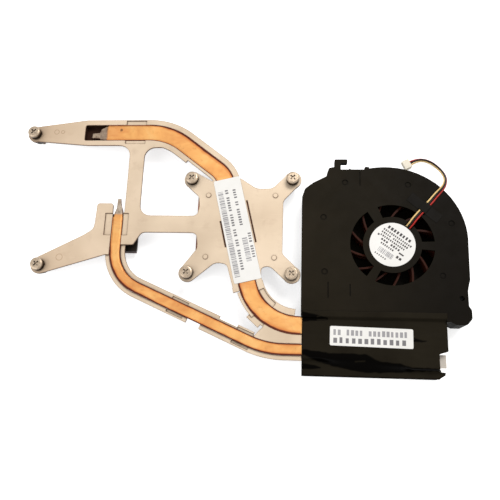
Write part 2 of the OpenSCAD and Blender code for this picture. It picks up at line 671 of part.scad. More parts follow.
module fan_cover() {
    color([0.1, 0.1, 0.1]) difference() {
        union() {
            translate([0, 0, fan_top - plate_t]) linear_extrude(plate_t) difference() {
                union() {
                    polygon(CASING);
                    casing_lug();
                    // shoulder, tooth and bump on the upper edge, and the plate of the hook
                    polygon(rounded(from_fan([[-34, 37], [-32.6, 42.8, 1], [-29.4, 43.4, 0.8],
                        [-26.2, 43.4], [-26.2, 37]])));
                    polygon(rounded(from_fan([[-21.9, 41], [-21.7, 42.6, 0.2], [-20.2, 41.7], [-20.2, 41]])));
                    polygon(rounded(from_fan([[-14, 41], [-13.3, 43.6, 0.8], [-11, 43.2], [-11, 41]])));
                    hook_outline(-2);
                }
                difference() {
                    translate([fan_x, fan_y]) circle(inlet_r);
                    translate([fan_x, fan_y]) circle(seat_r);
                    inlet_struts();
                }
            }
            // hook that holds the wires, in front of the casing's wall
            translate([0, 0, fan_top - 3]) linear_extrude(2.5) hook_outline(0.3);
            // boss that the bearing is pressed in
            translate([fan_x, fan_y, fan_top - plate_t - 2.2]) cylinder(r = bearing_r + 0.9, h = 2.2 + tiny);
        }
        translate([fan_x, fan_y, fan_top - plate_t - 3]) cylinder(r = bearing_r, h = 3);
        for (p = POSTS) translate([p[0], p[1], fan_top - 0.4]) cylinder(r = pit_r, h = 1);
        for (p = POSTS) translate([p[0], p[1], fan_top - 2]) cylinder(r = stake_r, h = 3);
        translate([lug_hole[0], lug_hole[1], fan_top - 3]) cylinder(r = lug_hole_r, h = 4);
        // shallow grooves left by the mould
        for (s = from_fan([[-16.1, 36.5, 8], [-33.2, -24.5, 8.3], [-22, -24.4, 6.2]]))
            translate([s[0] - 0.3, s[1] - s[2] / 2, fan_top - 0.3]) cube([0.6, s[2], 1]);
        // gap for the wires in the rim of the seat
        translate([fan_x, fan_y, fan_top - plate_t - 1]) rotate([0, 0, wire_angle])
            translate([seat_r - 2.6, -2, 0]) cube([6, 4, plate_t + 2]);
    }
}

// Hook on the upper edge, from a depth behind the edge outwards
module hook_outline(from) {
    polygon(rounded(from_fan([
        [-29.6, 41.9 + from], [-29.6, 47.8, 0.8], [-22.6, 47.8, 0.6], [-22.6, 45.6, 0.6],
        [-26.2, 45.6], [-26.2, 41.9 + from]])));
}
module inlet_struts() {
    for (s = [[117, 16], [238, 13], [-1.5, 13]])
        translate([fan_x, fan_y]) rotate([0, 0, s[0]])
            polygon([[10, -seat_r * sin(s[1] / 2)], [inlet_r + 1, -inlet_r * sin(s[1] / 2)],
                [inlet_r + 1, inlet_r * sin(s[1] / 2)], [10, seat_r * sin(s[1] / 2)]]);
}

module fan_housing() {
    h = fan_h - plate_t;
    color([0.09, 0.09, 0.09]) difference() {
        union() {
            translate([0, 0, fan_z]) linear_extrude(h) difference() {
                union() {
                    polygon(CASING);
                    casing_lug();
                }
                polygon(moved_in(CASING, wall));
                // open outlet side
                translate([casing_left + wall, casing_low - 1])
                    square([fins_x1 + 2.5 - casing_left - wall, wall + 2]);
            }
            translate([0, 0, fan_z]) linear_extrude(plate_t) polygon(CASING);
            // post round the corner hole
            translate([lug_hole[0], lug_hole[1], fan_z]) cylinder(r = lug_hole_r + 1.4, h = h);
            // posts whose heads hold the cover
            for (p = POSTS) translate([p[0], p[1], fan_z]) cylinder(r = post_r, h = h);
            for (p = POSTS) translate([p[0], p[1], fan_z]) cylinder(r = stake_r, h = fan_h - 0.25);
        }
        translate([lug_hole[0], lug_hole[1], fan_z - 1]) cylinder(r = lug_hole_r, h = fan_h);
    }
}

// Motor: the stator hangs under the seat, the rotor turns round it
bearing_r = 2.5;
shaft_r = 1;
shaft_gap = 0.03;
bearing_z0 = -1.8;
seat_under = fan_top - plate_t;
board_t = 0.8;
module motor_board() {
    color([0.05, 0.3, 0.15]) translate([fan_x, fan_y, seat_under - board_t]) difference() {
        cylinder(r = 12.4, h = board_t);
        translate([0, 0, -1]) cylinder(r = bearing_r + 0.9, h = board_t + 2);
    }
}
core_z0 = 0.4;
core_h = 3;
pole_n = 4;
module stator_core() {
    color([0.55, 0.55, 0.57]) translate([fan_x, fan_y, core_z0]) linear_extrude(core_h) difference() {
        union() {
            circle(4.2);
            for (i = [0:pole_n - 1]) rotate([0, 0, i * 360 / pole_n + 45]) {
                translate([3.6, -1.1]) square([4.4, 2.2]);
                intersection() {
                    difference() {
                        circle(8.8);
                        circle(7.6);
                    }
                    polygon([[0, 0], [12, -8], [12, 8]]);
                }
            }
        }
        circle(bearing_r);
    }
}
module stator_coils() {
    color([0.75, 0.4, 0.2]) translate([fan_x, fan_y, core_z0 - 0.8]) for (i = [0:pole_n - 1])
        rotate([0, 0, i * 360 / pole_n + 45]) difference() {
            translate([4.4, -2, 0]) cube([2.6, 4, core_h + 1.6]);
            translate([4, -1.1, 0.8]) cube([4, 2.2, core_h]);
        }
}
module bearing_sleeve() {
    color([0.8, 0.65, 0.3]) translate([fan_x, fan_y, bearing_z0]) difference() {
        cylinder(r = bearing_r, h = seat_under - bearing_z0);
        translate([0, 0, -1]) cylinder(r = shaft_r + shaft_gap, h = seat_under - bearing_z0 + 2);
    }
}
thrust_t = 0.5;
module thrust_pad() {
    color([0.9, 0.9, 0.85]) translate([fan_x, fan_y, seat_under - thrust_t])
        cylinder(r = shaft_r, h = thrust_t);
}
yoke_z0 = -3.2;
yoke_r = 11.6;
module rotor_shaft() {
    color([0.8, 0.8, 0.82]) translate([fan_x, fan_y, 0]) rotate_extrude()
        polygon([[0, yoke_z0], [shaft_r, yoke_z0], [shaft_r, seat_under - thrust_t - 0.5],
            [0.5, seat_under - thrust_t - 0.1], [0, seat_under - thrust_t - 0.1]]);
}
module rotor_yoke() {
    color([0.6, 0.6, 0.62]) translate([fan_x, fan_y, 0]) rotate_extrude()
        polygon([[shaft_r, yoke_z0], [yoke_r, yoke_z0], [yoke_r, 4.2], [yoke_r - 0.6, 4.2],
            [yoke_r - 0.6, yoke_z0 + 0.6], [2.2, yoke_z0 + 0.6], [2.2, yoke_z0 + 1], [shaft_r, yoke_z0 + 1]]);
}
module rotor_magnet() {
    color([0.2, 0.2, 0.2]) translate([fan_x, fan_y, -1.4]) difference() {
        cylinder(r = yoke_r - 0.6, h = 5.2);
        translate([0, 0, -1]) cylinder(r = yoke_r - 2.1, h = 8);
    }
}

// Impeller: cup round the yoke with thirteen backward-curved blades
hub_r = 12.9;
blade_z0 = fan_z + plate_t + 0.9;
blade_z1 = seat_under - board_t - 0.3;
blade_pass_in = [15.8, 3.6];
blade_pass_out = [22.7, 0];
blade_arc_r = 30;
blade_chord = blade_pass_out - blade_pass_in;
blade_mid = (blade_pass_in + blade_pass_out) / 2;
blade_centre = blade_mid
    - left_of(unit(blade_chord)) * sqrt(blade_arc_r * blade_arc_r - blade_chord * blade_chord / 4);
blade_first = 157.7;
module blade_shape() {
    intersection() {
        difference() {
            circle(blade_tip_r);
            circle(hub_r - 0.7);
        }
        translate(blade_centre) difference() {
            circle(blade_arc_r + blade_t / 2, $fn = 128);
            circle(blade_arc_r - blade_t / 2, $fn = 128);
        }
        translate([0, -14]) square([40, 26]);
    }
}
module impeller() {
    color([0.12, 0.12, 0.12]) translate([fan_x, fan_y, 0]) {
        rotate_extrude() polygon([[0, yoke_z0 - 0.8], [hub_r, yoke_z0 - 0.8], [hub_r, blade_z1 - 0.4],
            [hub_r - 0.4, blade_z1], [yoke_r, blade_z1], [yoke_r, yoke_z0], [0, yoke_z0]]);
        for (i = [0:blade_n - 1]) rotate([0, 0, blade_first + i * 360 / blade_n])
            translate([0, 0, blade_z0]) linear_extrude(blade_z1 - blade_z0 - 0.6) blade_shape();
        // ring that ties the blades together
        translate([0, 0, blade_z0 - 0.3]) difference() {
            cylinder(r = blade_tip_r - 0.6, h = 0.9);
            translate([0, 0, -1]) cylinder(r = blade_tip_r - 2.4, h = 3);
        }
    }
}

// Black tape over the wires on the cover
tape_at = [17.2, 20.2];
tape_angle = -40.3;
module wire_tape() {
    t = 0.12;
    color([0.04, 0.04, 0.04]) translate([fan_x + tape_at[0], fan_y + tape_at[1], fan_top])
        rotate([0, 0, tape_angle]) difference() {
            union() {
                translate([-9.8, -2.7, 0]) cube([19.6, 5.4, t]);
                translate([-2.2, -2.7, 0]) cube([4.4, 5.4, wire_d + 0.15 + t]);
            }
            translate([-2, -3, -1]) cube([4, 6, wire_d + 1.15]);
        }
}

// Fan lead: the course of its middle wire, from the motor board to the plug,
// as [x, y, z, distance of the outer wires]
LEAD = [
    [87.7, -0.6, 5.6, 1.05], [88.8, 0.6, 5.9, 1.05], [89.9, 1.9, 6.8, 1.05], [91, 3.4, 7.45, 1.05],
    [93.3, 6.2, 7.5, 1.05], [96.4, 9.6, 7.5, 1.05], [99.7, 13.2, 7.5, 1.05], [103, 17.2, 7.5, 1],
    [105.1, 19.5, 7.55, 0.9], [106.5, 21.2, 7.55, 0.8], [107.7, 23.2, 6.9, 0.65], [108.8, 26.2, 5.1, 0.55],
    [109.2, 29.3, 2.8, 0.55], [108.9, 32.5, 0.4, 0.55], [108.1, 35.4, -1.9, 0.55],
    [106.6, 38.3, -3.8, 0.55], [104.4, 40.8, -5, 0.55], [101.6, 42.4, -5.5, 0.55],
    [98.4, 42.8, -5.5, 0.6], [95.2, 42, -5.5, 0.8], [92.6, 40.7, -5.5, 1.05]
];
function flat_side(v) = let (n = norm([v[0], v[1]])) [-v[1] / n, v[0] / n, 0];
function lead_dir(r, i) =
    let (d = i == 0 ? r[1] - r[0] : i == len(r) - 1 ? r[i] - r[i - 1] : r[i + 1] - r[i - 1])
    [d[0], d[1], d[2]];

// Where the outer wires run closer than they are wide, the middle one lies on top
wire_step = wire_d + 0.1;
function wire_lift(apart) = apart >= wire_step ? 0 : sqrt(wire_step * wire_step - apart * apart);
function wire_course(k) =
    [for (i = [0:len(LEAD) - 1])
        [LEAD[i][0], LEAD[i][1], LEAD[i][2] + (k == 0 ? wire_lift(LEAD[i][3]) : 0)]
            + flat_side(lead_dir(LEAD, i)) * k * LEAD[i][3]];

// Eight-sided tube along a course
module wire(course) {
    sides = 8;
    n = len(course);
    pts = [for (i = [0:n - 1])
        let (t = unit(lead_dir(course, i)), a = flat_side(t), b = cross(t, a))
        for (k = [0:sides - 1])
            course[i] + wire_d / 2 * (a * cos(k * 360 / sides) + b * sin(k * 360 / sides))];
    skin = [for (i = [0:n - 2], k = [0:sides - 1])
        let (m = (k + 1) % sides)
        [i * sides + k, i * sides + m, (i + 1) * sides + m, (i + 1) * sides + k]];
    caps = [[for (k = [sides - 1:-1:0]) k], [for (k = [0:sides - 1]) (n - 1) * sides + k]];
    polyhedron(pts, concat(skin, caps), convexity = 6);
}
module wire_red() { color([0.75, 0.1, 0.08]) wire(wire_course(-1)); }
module wire_black() { color([0.05, 0.05, 0.05]) wire(wire_course(0)); }
module wire_white() { color([0.92, 0.9, 0.8]) wire(wire_course(1)); }

// Plug on the end of the lead
plug_end = [for (k = [0:2]) LEAD[len(LEAD) - 1][k]];
wire_apart = LEAD[len(LEAD) - 1][3];
plug_dir = lead_dir(LEAD, len(LEAD) - 1);
plug_angle = atan2(plug_dir[1], plug_dir[0]);
plug_l = 4;
plug_h = 2.2;
module at_plug() {
    translate(plug_end) rotate([0, 0, plug_angle]) children();
}
module plug_housing() {
    color([0.93, 0.92, 0.86]) at_plug() difference() {
        union() {
            translate([0, -plug_w / 2, -wire_d / 2]) cube([plug_l, plug_w, plug_h]);
            for (s = [-1, 1]) translate([0.8, s * (plug_w / 2 + 0.2) - 0.2, 0.2])
                cube([plug_l - 1.6, 0.4, 0.8]);
        }
        for (k = [-1:1]) translate([plug_l - 2.4, k * wire_apart - 0.3, 0.1]) cube([3, 0.6, 0.8]);
    }
}
module plug_contacts() {
    color([0.8, 0.7, 0.4]) at_plug() for (k = [-1:1])
        translate([plug_l - 2.4, k * wire_apart - 0.3, 0.1]) cube([2.2, 0.6, 0.3]);
}

// Spring screws: head on a spring above the sheet, clip under the collar
spring_seat_z = sheet_top;
head_z = spring_seat_z + spring_h;
head_h = 1.5;
collar_z0 = sheet_z - collar_h;
tip_z = collar_z0 - screw_tip_h;
clip_t = 0.5;
clip_z = collar_z0 - clip_t - 0.05;
groove_r = screw_d / 2 - 0.3;
module screw_shape() {
    head_r = screw_head_d / 2;
    shank = screw_d / 2;
    color([0.8, 0.79, 0.77]) difference() {
        rotate_extrude() polygon(concat(
            [[0, tip_z], [shank - 0.35, tip_z], [shank, tip_z + 0.4], [shank, clip_z - 0.05],
                [groove_r, clip_z - 0.05], [groove_r, clip_z + clip_t + 0.05],
                [shank, clip_z + clip_t + 0.05],
                [shank, head_z], [head_r, head_z]],
            [for (a = [0:15:75]) [head_r - 0.7 + 0.7 * cos(a), head_z + head_h - 0.7 + 0.6 * sin(a)]],
            [[head_r - 0.9, head_z + head_h], [0, head_z + head_h]]));
        for (a = [45, 135]) translate([0, 0, head_z + head_h - 0.9]) rotate([0, 0, a])
            translate([-1.7, -0.4, 0]) cube([3.4, 0.8, 1]);
    }
}
module clip_shape() {
    color([0.3, 0.3, 0.32]) translate([0, 0, clip_z]) linear_extrude(clip_t) difference() {
        circle(2.2);
        circle(groove_r + 0.05);
        translate([0, -0.6]) square([4, 1.2]);
    }
}
module spring_shape() {
    color([0.12, 0.11, 0.1]) {
        turns = 3;
        steps = 36;
        sides = 6;
        r = screw_head_d / 2 - 0.1 - spring_wire_d / 2;
        rise = spring_h - spring_wire_d;
        pts = [for (i = [0:steps], k = [0:sides - 1])
            let (a = turns * 360 * i / steps, b = k * 360 / sides, w = r + spring_wire_d / 2 * cos(b))
            [w * cos(a), w * sin(a), spring_seat_z + spring_wire_d / 2 + rise * i / steps
                + spring_wire_d / 2 * sin(b)]];
        skin = [for (i = [0:steps - 1], k = [0:sides - 1])
            let (m = (k + 1) % sides)
            [i * sides + k, (i + 1) * sides + k, (i + 1) * sides + m, i * sides + m]];
        caps = [[for (k = [0:sides - 1]) k], [for (k = [sides - 1:-1:0]) steps * sides + k]];
        polyhedron(pts, concat(skin, caps), convexity = 6);
    }
}
collar_r = lug_r - 0.2;
module screw_collars() {
    color([0.07, 0.06, 0.06]) for (p = SCREWS) translate([p[0], p[1], 0])
        rotate_extrude() polygon([[screw_d / 2 + 0.2, collar_z0], [3.05, collar_z0], [3.25, collar_z0 + 0.3],
            [collar_r, sheet_z - 1], [collar_r, sheet_z],
            [collar_neck_r, sheet_z], [collar_neck_r, sheet_top],
            [screw_d / 2 + 0.2, sheet_top]]);
}
module at_screw(i) {
    translate([SCREWS[i][0], SCREWS[i][1], 0]) children();
}
module screw_1() { at_screw(0) screw_shape(); }
module screw_2() { at_screw(1) screw_shape(); }
module screw_3() { at_screw(2) screw_shape(); }
module screw_4() { at_screw(3) screw_shape(); }
module screw_5() { at_screw(4) screw_shape(); }
module screw_6() { at_screw(5) screw_shape(); }
module clip_1() { at_screw(0) clip_shape(); }
module clip_2() { at_screw(1) clip_shape(); }
module clip_3() { at_screw(2) clip_shape(); }
module clip_4() { at_screw(3) clip_shape(); }
module clip_5() { at_screw(4) clip_shape(); }
module clip_6() { at_screw(5) clip_shape(); }
module spring_1() { at_screw(0) spring_shape(); }
module spring_2() { at_screw(1) spring_shape(); }
module spring_3() { at_screw(2) spring_shape(); }
module spring_4() { at_screw(3) spring_shape(); }
module spring_5() { at_screw(4) spring_shape(); }
module spring_6() { at_screw(5) spring_shape(); }

main_bracket();
branch_bracket();
cpu_cold_plate();
gpu_cold_plate();
gpu_thermal_pad();
pipe_end_pad();
wide_heat_pipe();
narrow_heat_pipe();
cooling_fins();
fin_end_plate();
duct_wrap();
pipe_label();
fan_label();
duct_label();
fan_cover();
fan_housing();
motor_board();
stator_core();
stator_coils();
bearing_sleeve();
thrust_pad();
rotor_shaft();
rotor_yoke();
rotor_magnet();
impeller();
wire_tape();
wire_red();
wire_black();
wire_white();
plug_housing();
plug_contacts();
screw_collars();
screw_1();
screw_2();
screw_3();
screw_4();
screw_5();
screw_6();
clip_1();
clip_2();
clip_3();
clip_4();
clip_5();
clip_6();
spring_1();
spring_2();
spring_3();
spring_4();
spring_5();
spring_6();
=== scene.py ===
import bpy
import bmesh
import json
import math
import random
from mathutils import Vector, Matrix, noise


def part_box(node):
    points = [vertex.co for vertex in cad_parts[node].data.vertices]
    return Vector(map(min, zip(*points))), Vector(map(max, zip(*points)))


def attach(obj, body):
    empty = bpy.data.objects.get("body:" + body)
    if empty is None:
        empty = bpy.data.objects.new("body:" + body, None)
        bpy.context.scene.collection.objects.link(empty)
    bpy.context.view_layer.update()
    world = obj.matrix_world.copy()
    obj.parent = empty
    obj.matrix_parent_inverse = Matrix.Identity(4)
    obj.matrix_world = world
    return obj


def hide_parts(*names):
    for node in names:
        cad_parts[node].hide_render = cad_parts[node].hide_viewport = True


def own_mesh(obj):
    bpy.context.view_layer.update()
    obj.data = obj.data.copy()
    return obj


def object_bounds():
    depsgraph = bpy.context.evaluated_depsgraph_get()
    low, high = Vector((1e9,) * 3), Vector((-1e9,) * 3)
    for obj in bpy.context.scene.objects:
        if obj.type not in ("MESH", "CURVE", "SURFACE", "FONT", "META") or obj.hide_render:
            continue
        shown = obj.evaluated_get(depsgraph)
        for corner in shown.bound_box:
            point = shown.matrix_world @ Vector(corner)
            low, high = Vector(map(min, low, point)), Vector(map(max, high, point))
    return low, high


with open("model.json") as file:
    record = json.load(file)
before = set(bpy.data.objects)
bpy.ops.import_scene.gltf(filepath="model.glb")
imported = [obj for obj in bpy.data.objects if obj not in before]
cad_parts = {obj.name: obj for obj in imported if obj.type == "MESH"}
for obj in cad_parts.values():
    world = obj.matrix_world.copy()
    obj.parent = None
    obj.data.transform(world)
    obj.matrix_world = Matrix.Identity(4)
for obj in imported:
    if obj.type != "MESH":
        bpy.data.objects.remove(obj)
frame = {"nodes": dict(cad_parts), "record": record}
cad_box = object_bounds()
scene = bpy.context.scene
scene.view_settings.view_transform = "Standard"
MM = 0.001  # metres in a millimetre


# Camera, fitted to the four processor screws and the sheet's edges in the photo
PICTURE = 500.0
FOCAL = 574.39
POINT_MM = 0.54
TILT, ROLL, SPIN = -15.163, -4.331, -1.901
AIM_POINTS = (-9.279, 22.215)


def make_camera():
    """Camera at the photo's angle; lengths are in picture points, one is POINT_MM on the bracket."""
    turn = (
        Matrix.Rotation(math.radians(TILT), 3, "X")
        @ Matrix.Rotation(math.radians(ROLL), 3, "Y")
        @ Matrix.Rotation(math.radians(SPIN), 3, "Z")
    )
    data = bpy.data.cameras.new("camera")
    cam = bpy.data.objects.new("camera", data)
    scene.collection.objects.link(cam)
    data.sensor_width = 36.0
    data.lens = data.sensor_width * FOCAL / PICTURE
    data.clip_start = 0.01
    data.clip_end = 20.0
    scale = 1 / POINT_MM
    aim = Vector((AIM_POINTS[0] / scale, AIM_POINTS[1] / scale, 0))
    spot = Vector(turn[2]) * (FOCAL / scale) - aim
    cam.matrix_world = Matrix.Translation(spot * MM) @ turn.transposed().to_4x4()
    scene.camera = cam


# Materials: colours are written as 0 to 255 screen values, lengths in metres
class Net:
    """Small helper that builds one node material."""

    def __init__(self, name):
        self.mat = bpy.data.materials.new(name)
        self.mat.use_nodes = True
        self.t = self.mat.node_tree
        self.t.nodes.clear()
        self.out = self.t.nodes.new("ShaderNodeOutputMaterial")
        self.p = self.t.nodes.new("ShaderNodeBsdfPrincipled")
        self.link(self.p.outputs[0], self.out.inputs["Surface"])
        self.tc = self.t.nodes.new("ShaderNodeTexCoord")
        self.where = self.tc.outputs["Object"]

    def link(self, a, b):
        self.t.links.new(a, b)

    def put(self, socket, value):
        if isinstance(value, bpy.types.NodeSocket):
            self.link(value, socket)
        else:
            socket.default_value = value

    def mapped(self, scale, rot=(0, 0, 0)):
        n = self.t.nodes.new("ShaderNodeMapping")
        n.inputs["Scale"].default_value = scale
        n.inputs["Rotation"].default_value = rot
        self.link(self.where, n.inputs["Vector"])
        return n.outputs[0]

    def noise(self, scale, detail=4.0, rough=0.5, distort=0.0, vector=None):
        n = self.t.nodes.new("ShaderNodeTexNoise")
        n.inputs["Scale"].default_value = scale
        n.inputs["Detail"].default_value = detail
        n.inputs["Roughness"].default_value = rough
        n.inputs["Distortion"].default_value = distort
        self.link(self.where if vector is None else vector, n.inputs["Vector"])
        return n.outputs["Fac"]

    def ramp(self, fac, stops):
        n = self.t.nodes.new("ShaderNodeValToRGB")
        e = n.color_ramp.elements
        while len(e) < len(stops):
            e.new(0.5)
        for k, (pos, col) in enumerate(stops):
            e[k].position = pos
            e[k].color = col if len(col) == 4 else (*col, 1)
        self.link(fac, n.inputs["Fac"])
        return n.outputs["Color"]

    def grey(self, fac, stops):
        return self.ramp(fac, [(p, (v, v, v)) for p, v in stops])

    def mix(self, fac, a, b, mode="MIX"):
        n = self.t.nodes.new("ShaderNodeMix")
        n.data_type = "RGBA"
        n.blend_type = mode
        self.put(n.inputs[0], fac)
        self.put(n.inputs[6], a if not isinstance(a, tuple) else (*a[:3], 1))
        self.put(n.inputs[7], b if not isinstance(b, tuple) else (*b[:3], 1))
        return n.outputs[2]

    def math(self, op, a, b=0.0, c=0.0):
        n = self.t.nodes.new("ShaderNodeMath")
        n.operation = op
        for s, v in zip(n.inputs, (a, b, c)):
            self.put(s, v)
        return n.outputs[0]

    def axes(self):
        n = self.t.nodes.new("ShaderNodeSeparateXYZ")
        self.link(self.where, n.inputs[0])
        return n.outputs

    def upward(self):
        """Height of the surface's normal: 1 on tops, 0 on walls."""
        g = self.t.nodes.new("ShaderNodeNewGeometry")
        n = self.t.nodes.new("ShaderNodeSeparateXYZ")
        self.link(g.outputs["Normal"], n.inputs[0])
        return n.outputs[2]

    def edge(self, radius=0.00025):
        """1 near edges, 0 on flats, from the bevelled normal."""
        b = self.t.nodes.new("ShaderNodeBevel")
        b.samples = 4
        b.inputs["Radius"].default_value = radius
        g = self.t.nodes.new("ShaderNodeNewGeometry")
        d = self.t.nodes.new("ShaderNodeVectorMath")
        d.operation = "DOT_PRODUCT"
        self.link(b.outputs[0], d.inputs[0])
        self.link(g.outputs["Normal"], d.inputs[1])
        return self.grey(d.outputs["Value"], [(0.86, 1.0), (0.99, 0.0)])

    def shade_in_gaps(self, distance, full=0.35, none=0.85):
        """Mask for painted shade: 1 in narrow gaps and corners, 0 in the open."""
        n = self.t.nodes.new("ShaderNodeAmbientOcclusion")
        n.samples = 8
        n.inputs["Distance"].default_value = distance
        return self.grey(n.outputs["AO"], [(full, 1.0), (none, 0.0)])

    def attribute(self, name):
        n = self.t.nodes.new("ShaderNodeAttribute")
        n.attribute_name = name
        return n.outputs["Fac"]

    def bump(self, height, strength=0.3, distance=0.0002, soft_edge=0.0):
        n = self.t.nodes.new("ShaderNodeBump")
        n.inputs["Strength"].default_value = strength
        n.inputs["Distance"].default_value = distance
        self.link(height, n.inputs["Height"])
        if soft_edge:
            b = self.t.nodes.new("ShaderNodeBevel")
            b.samples = 4
            b.inputs["Radius"].default_value = soft_edge
            self.link(b.outputs[0], n.inputs["Normal"])
        self.link(n.outputs[0], self.p.inputs["Normal"])

    def set(self, **values):
        names = {
            "colour": "Base Color",
            "metal": "Metallic",
            "rough": "Roughness",
            "spec": "Specular IOR Level",
        }
        for key, value in values.items():
            if key == "colour" and isinstance(value, tuple):
                value = (*value[:3], 1)
            self.put(self.p.inputs[names[key]], value)
        return self.mat


def lin(r, g, b):
    """Linear colour of a screen colour."""
    def one(v):
        v /= 255.0
        return v / 12.92 if v <= 0.04045 else ((v + 0.055) / 1.055) ** 2.4
    return (one(r), one(g), one(b))


SHEET = (lin(196, 175, 150), lin(212, 192, 167), lin(225, 205, 181))
SHEET_OUTER = lin(185, 155, 125)
SHEET_STAIN = lin(162, 134, 110)
SHEET_SCUFF = lin(223, 204, 181)
SHEET_EDGE = lin(122, 90, 66)
SHEET_WALL_SHADE = lin(84, 56, 38)
SHEET_GAP_SHADE = lin(64, 36, 20)


def sheet_metal(name):
    """Warm plated sheet, browner towards its outer arms and along its edges, with painted shade on its
    walls and in its gaps.
    """
    n = Net(name)
    col = n.ramp(n.noise(30, 3), [(0.3, SHEET[0]), (0.55, SHEET[1]), (0.75, SHEET[2])])
    outer = n.math("MULTIPLY", n.math("ADD", n.axes()[0], 0.13), 9.0)
    col = n.mix(n.grey(outer, [(0.0, 0.5), (0.75, 0.0)]), col, SHEET_OUTER)
    col = n.mix(n.grey(n.noise(140, 6, 0.65), [(0.56, 0.0), (0.78, 0.3)]), col, SHEET_STAIN)
    scuff = n.noise(1.0, 2, vector=n.mapped((90, 1500, 200), (0, 0, 0.5)))
    col = n.mix(n.grey(scuff, [(0.62, 0.0), (0.75, 0.2)]), col, SHEET_SCUFF)
    col = n.mix(n.math("MULTIPLY", n.edge(0.0007), 0.85), col, SHEET_EDGE)
    # Painted shade: the sheet's walls and its narrow gaps and corners are darkened.
    walls = n.grey(n.upward(), [(0.2, 1.0), (0.6, 0.0)])
    col = n.mix(walls, col, SHEET_WALL_SHADE)
    col = n.mix(n.math("MULTIPLY", n.shade_in_gaps(0.0013, 0.35, 0.95), 0.85), col, SHEET_GAP_SHADE)
    rough = n.grey(n.noise(60), [(0.3, 0.4), (0.7, 0.55)])
    n.bump(n.noise(900, 5, 0.6), 0.1, 0.0001, 0.0002)
    return n.set(colour=col, metal=0.3, rough=rough, spec=0.4)


COPPER = (lin(206, 138, 76), lin(226, 166, 96), lin(230, 184, 118))
PLATE_COPPER = (lin(110, 62, 40), lin(140, 84, 56), lin(156, 98, 68))


COPPER_SPOT = lin(146, 77, 38)
COPPER_STREAK = lin(195, 111, 56)
PIPE_WALL_SHADE = lin(74, 22, 4)
PLATE_WALL_SHADE = lin(40, 22, 14)
MARK = lin(58, 30, 20)


def copper_colour(n, base):
    """Mottled and streaked copper; returns its colour and the noise of its spots."""
    col = n.ramp(n.noise(55, 4, 0.6, 0.4), [(0.32, base[0]), (0.52, base[1]), (0.72, base[2])])
    spots = n.noise(260, 6, 0.7)
    col = n.mix(n.grey(spots, [(0.58, 0.0), (0.8, 0.6)]), col, COPPER_SPOT)
    streak = n.noise(1.0, 4, 0.6, vector=n.mapped((34, 90, 60), (0, 0, 0.4)))
    return n.mix(n.grey(streak, [(0.54, 0.0), (0.72, 0.6)]), col, COPPER_STREAK), spots


def crimped_tip(n, col, spots, axis, at, side, colours):
    """Grey past the place on the axis where the pipe is crimped."""
    wobble = n.math("MULTIPLY", n.noise(700, 3), 0.0012)
    along_pipe = n.math("ADD", n.math("MULTIPLY", n.axes()[axis], float(side)), wobble)
    past = n.math("MULTIPLY", n.math("SUBTRACT", along_pipe, side * at * MM), 900.0)
    past = n.math("MAXIMUM", n.math("MINIMUM", past, 1.0), 0.0)
    return n.mix(past, col, n.ramp(spots, [(0.35, colours[0]), (0.65, colours[1])]))


def dark_mark(n, col, at):
    """Small dark spot on the pipe, a few millimetres wide."""
    ax = n.axes()
    gap = [n.math("POWER", n.math("MULTIPLY", n.math("SUBTRACT", ax[k], at[k] * MM), 1000.0), 2.0)
           for k in (0, 1)]
    far = n.math("SQRT", n.math("ADD", gap[0], gap[1]))
    far = n.math("ADD", far, n.math("MULTIPLY", n.noise(1800, 3), 1.2))
    return n.mix(n.grey(n.math("DIVIDE", far, 4.0), [(0.3, 0.75), (0.42, 0.0)]), col, MARK)


def copper(name, base=COPPER, wall_shade_col=PIPE_WALL_SHADE, tip=None, mark=None):
    """Copper piece with painted shade on its walls and in its gaps; tip holds the axis, place, side and
    colours of a crimped end.
    """
    n = Net(name)
    col, spots = copper_colour(n, base)
    if tip:
        col = crimped_tip(n, col, spots, *tip)
    if mark:
        col = dark_mark(n, col, mark)
    # Painted shade: the rounded flanks and the gaps beside them are darkened.
    walls = n.grey(n.upward(), [(0.72, 1.0), (0.98, 0.0)])
    col = n.mix(walls, col, wall_shade_col)
    col = n.mix(n.math("MULTIPLY", n.shade_in_gaps(0.0013, 0.35, 0.9), 0.85), col, wall_shade_col)
    rough = n.grey(n.noise(120), [(0.3, 0.36), (0.7, 0.5)])
    n.bump(n.noise(500, 4, 0.55), 0.1, 0.00012)
    return n.set(colour=col, metal=0.45, rough=rough, spec=0.45)


def shade_strip_copper(name):
    """Copper with painted shade: it turns dark where its shade attribute rises to 1."""
    n = Net(name)
    col = copper_colour(n, COPPER)[0]
    painted_shade = n.attribute("painted_shade")
    col = n.mix(n.grey(painted_shade, [(0.0, 0.0), (0.5, 0.7)]), col, lin(194, 98, 41))
    col = n.mix(n.grey(painted_shade, [(0.5, 0.0), (0.72, 1.0)]), col, lin(82, 28, 6))
    n.bump(n.noise(500, 4, 0.55), 0.1, 0.00012)
    return n.set(colour=col, metal=0.3, rough=0.5, spec=0.3)


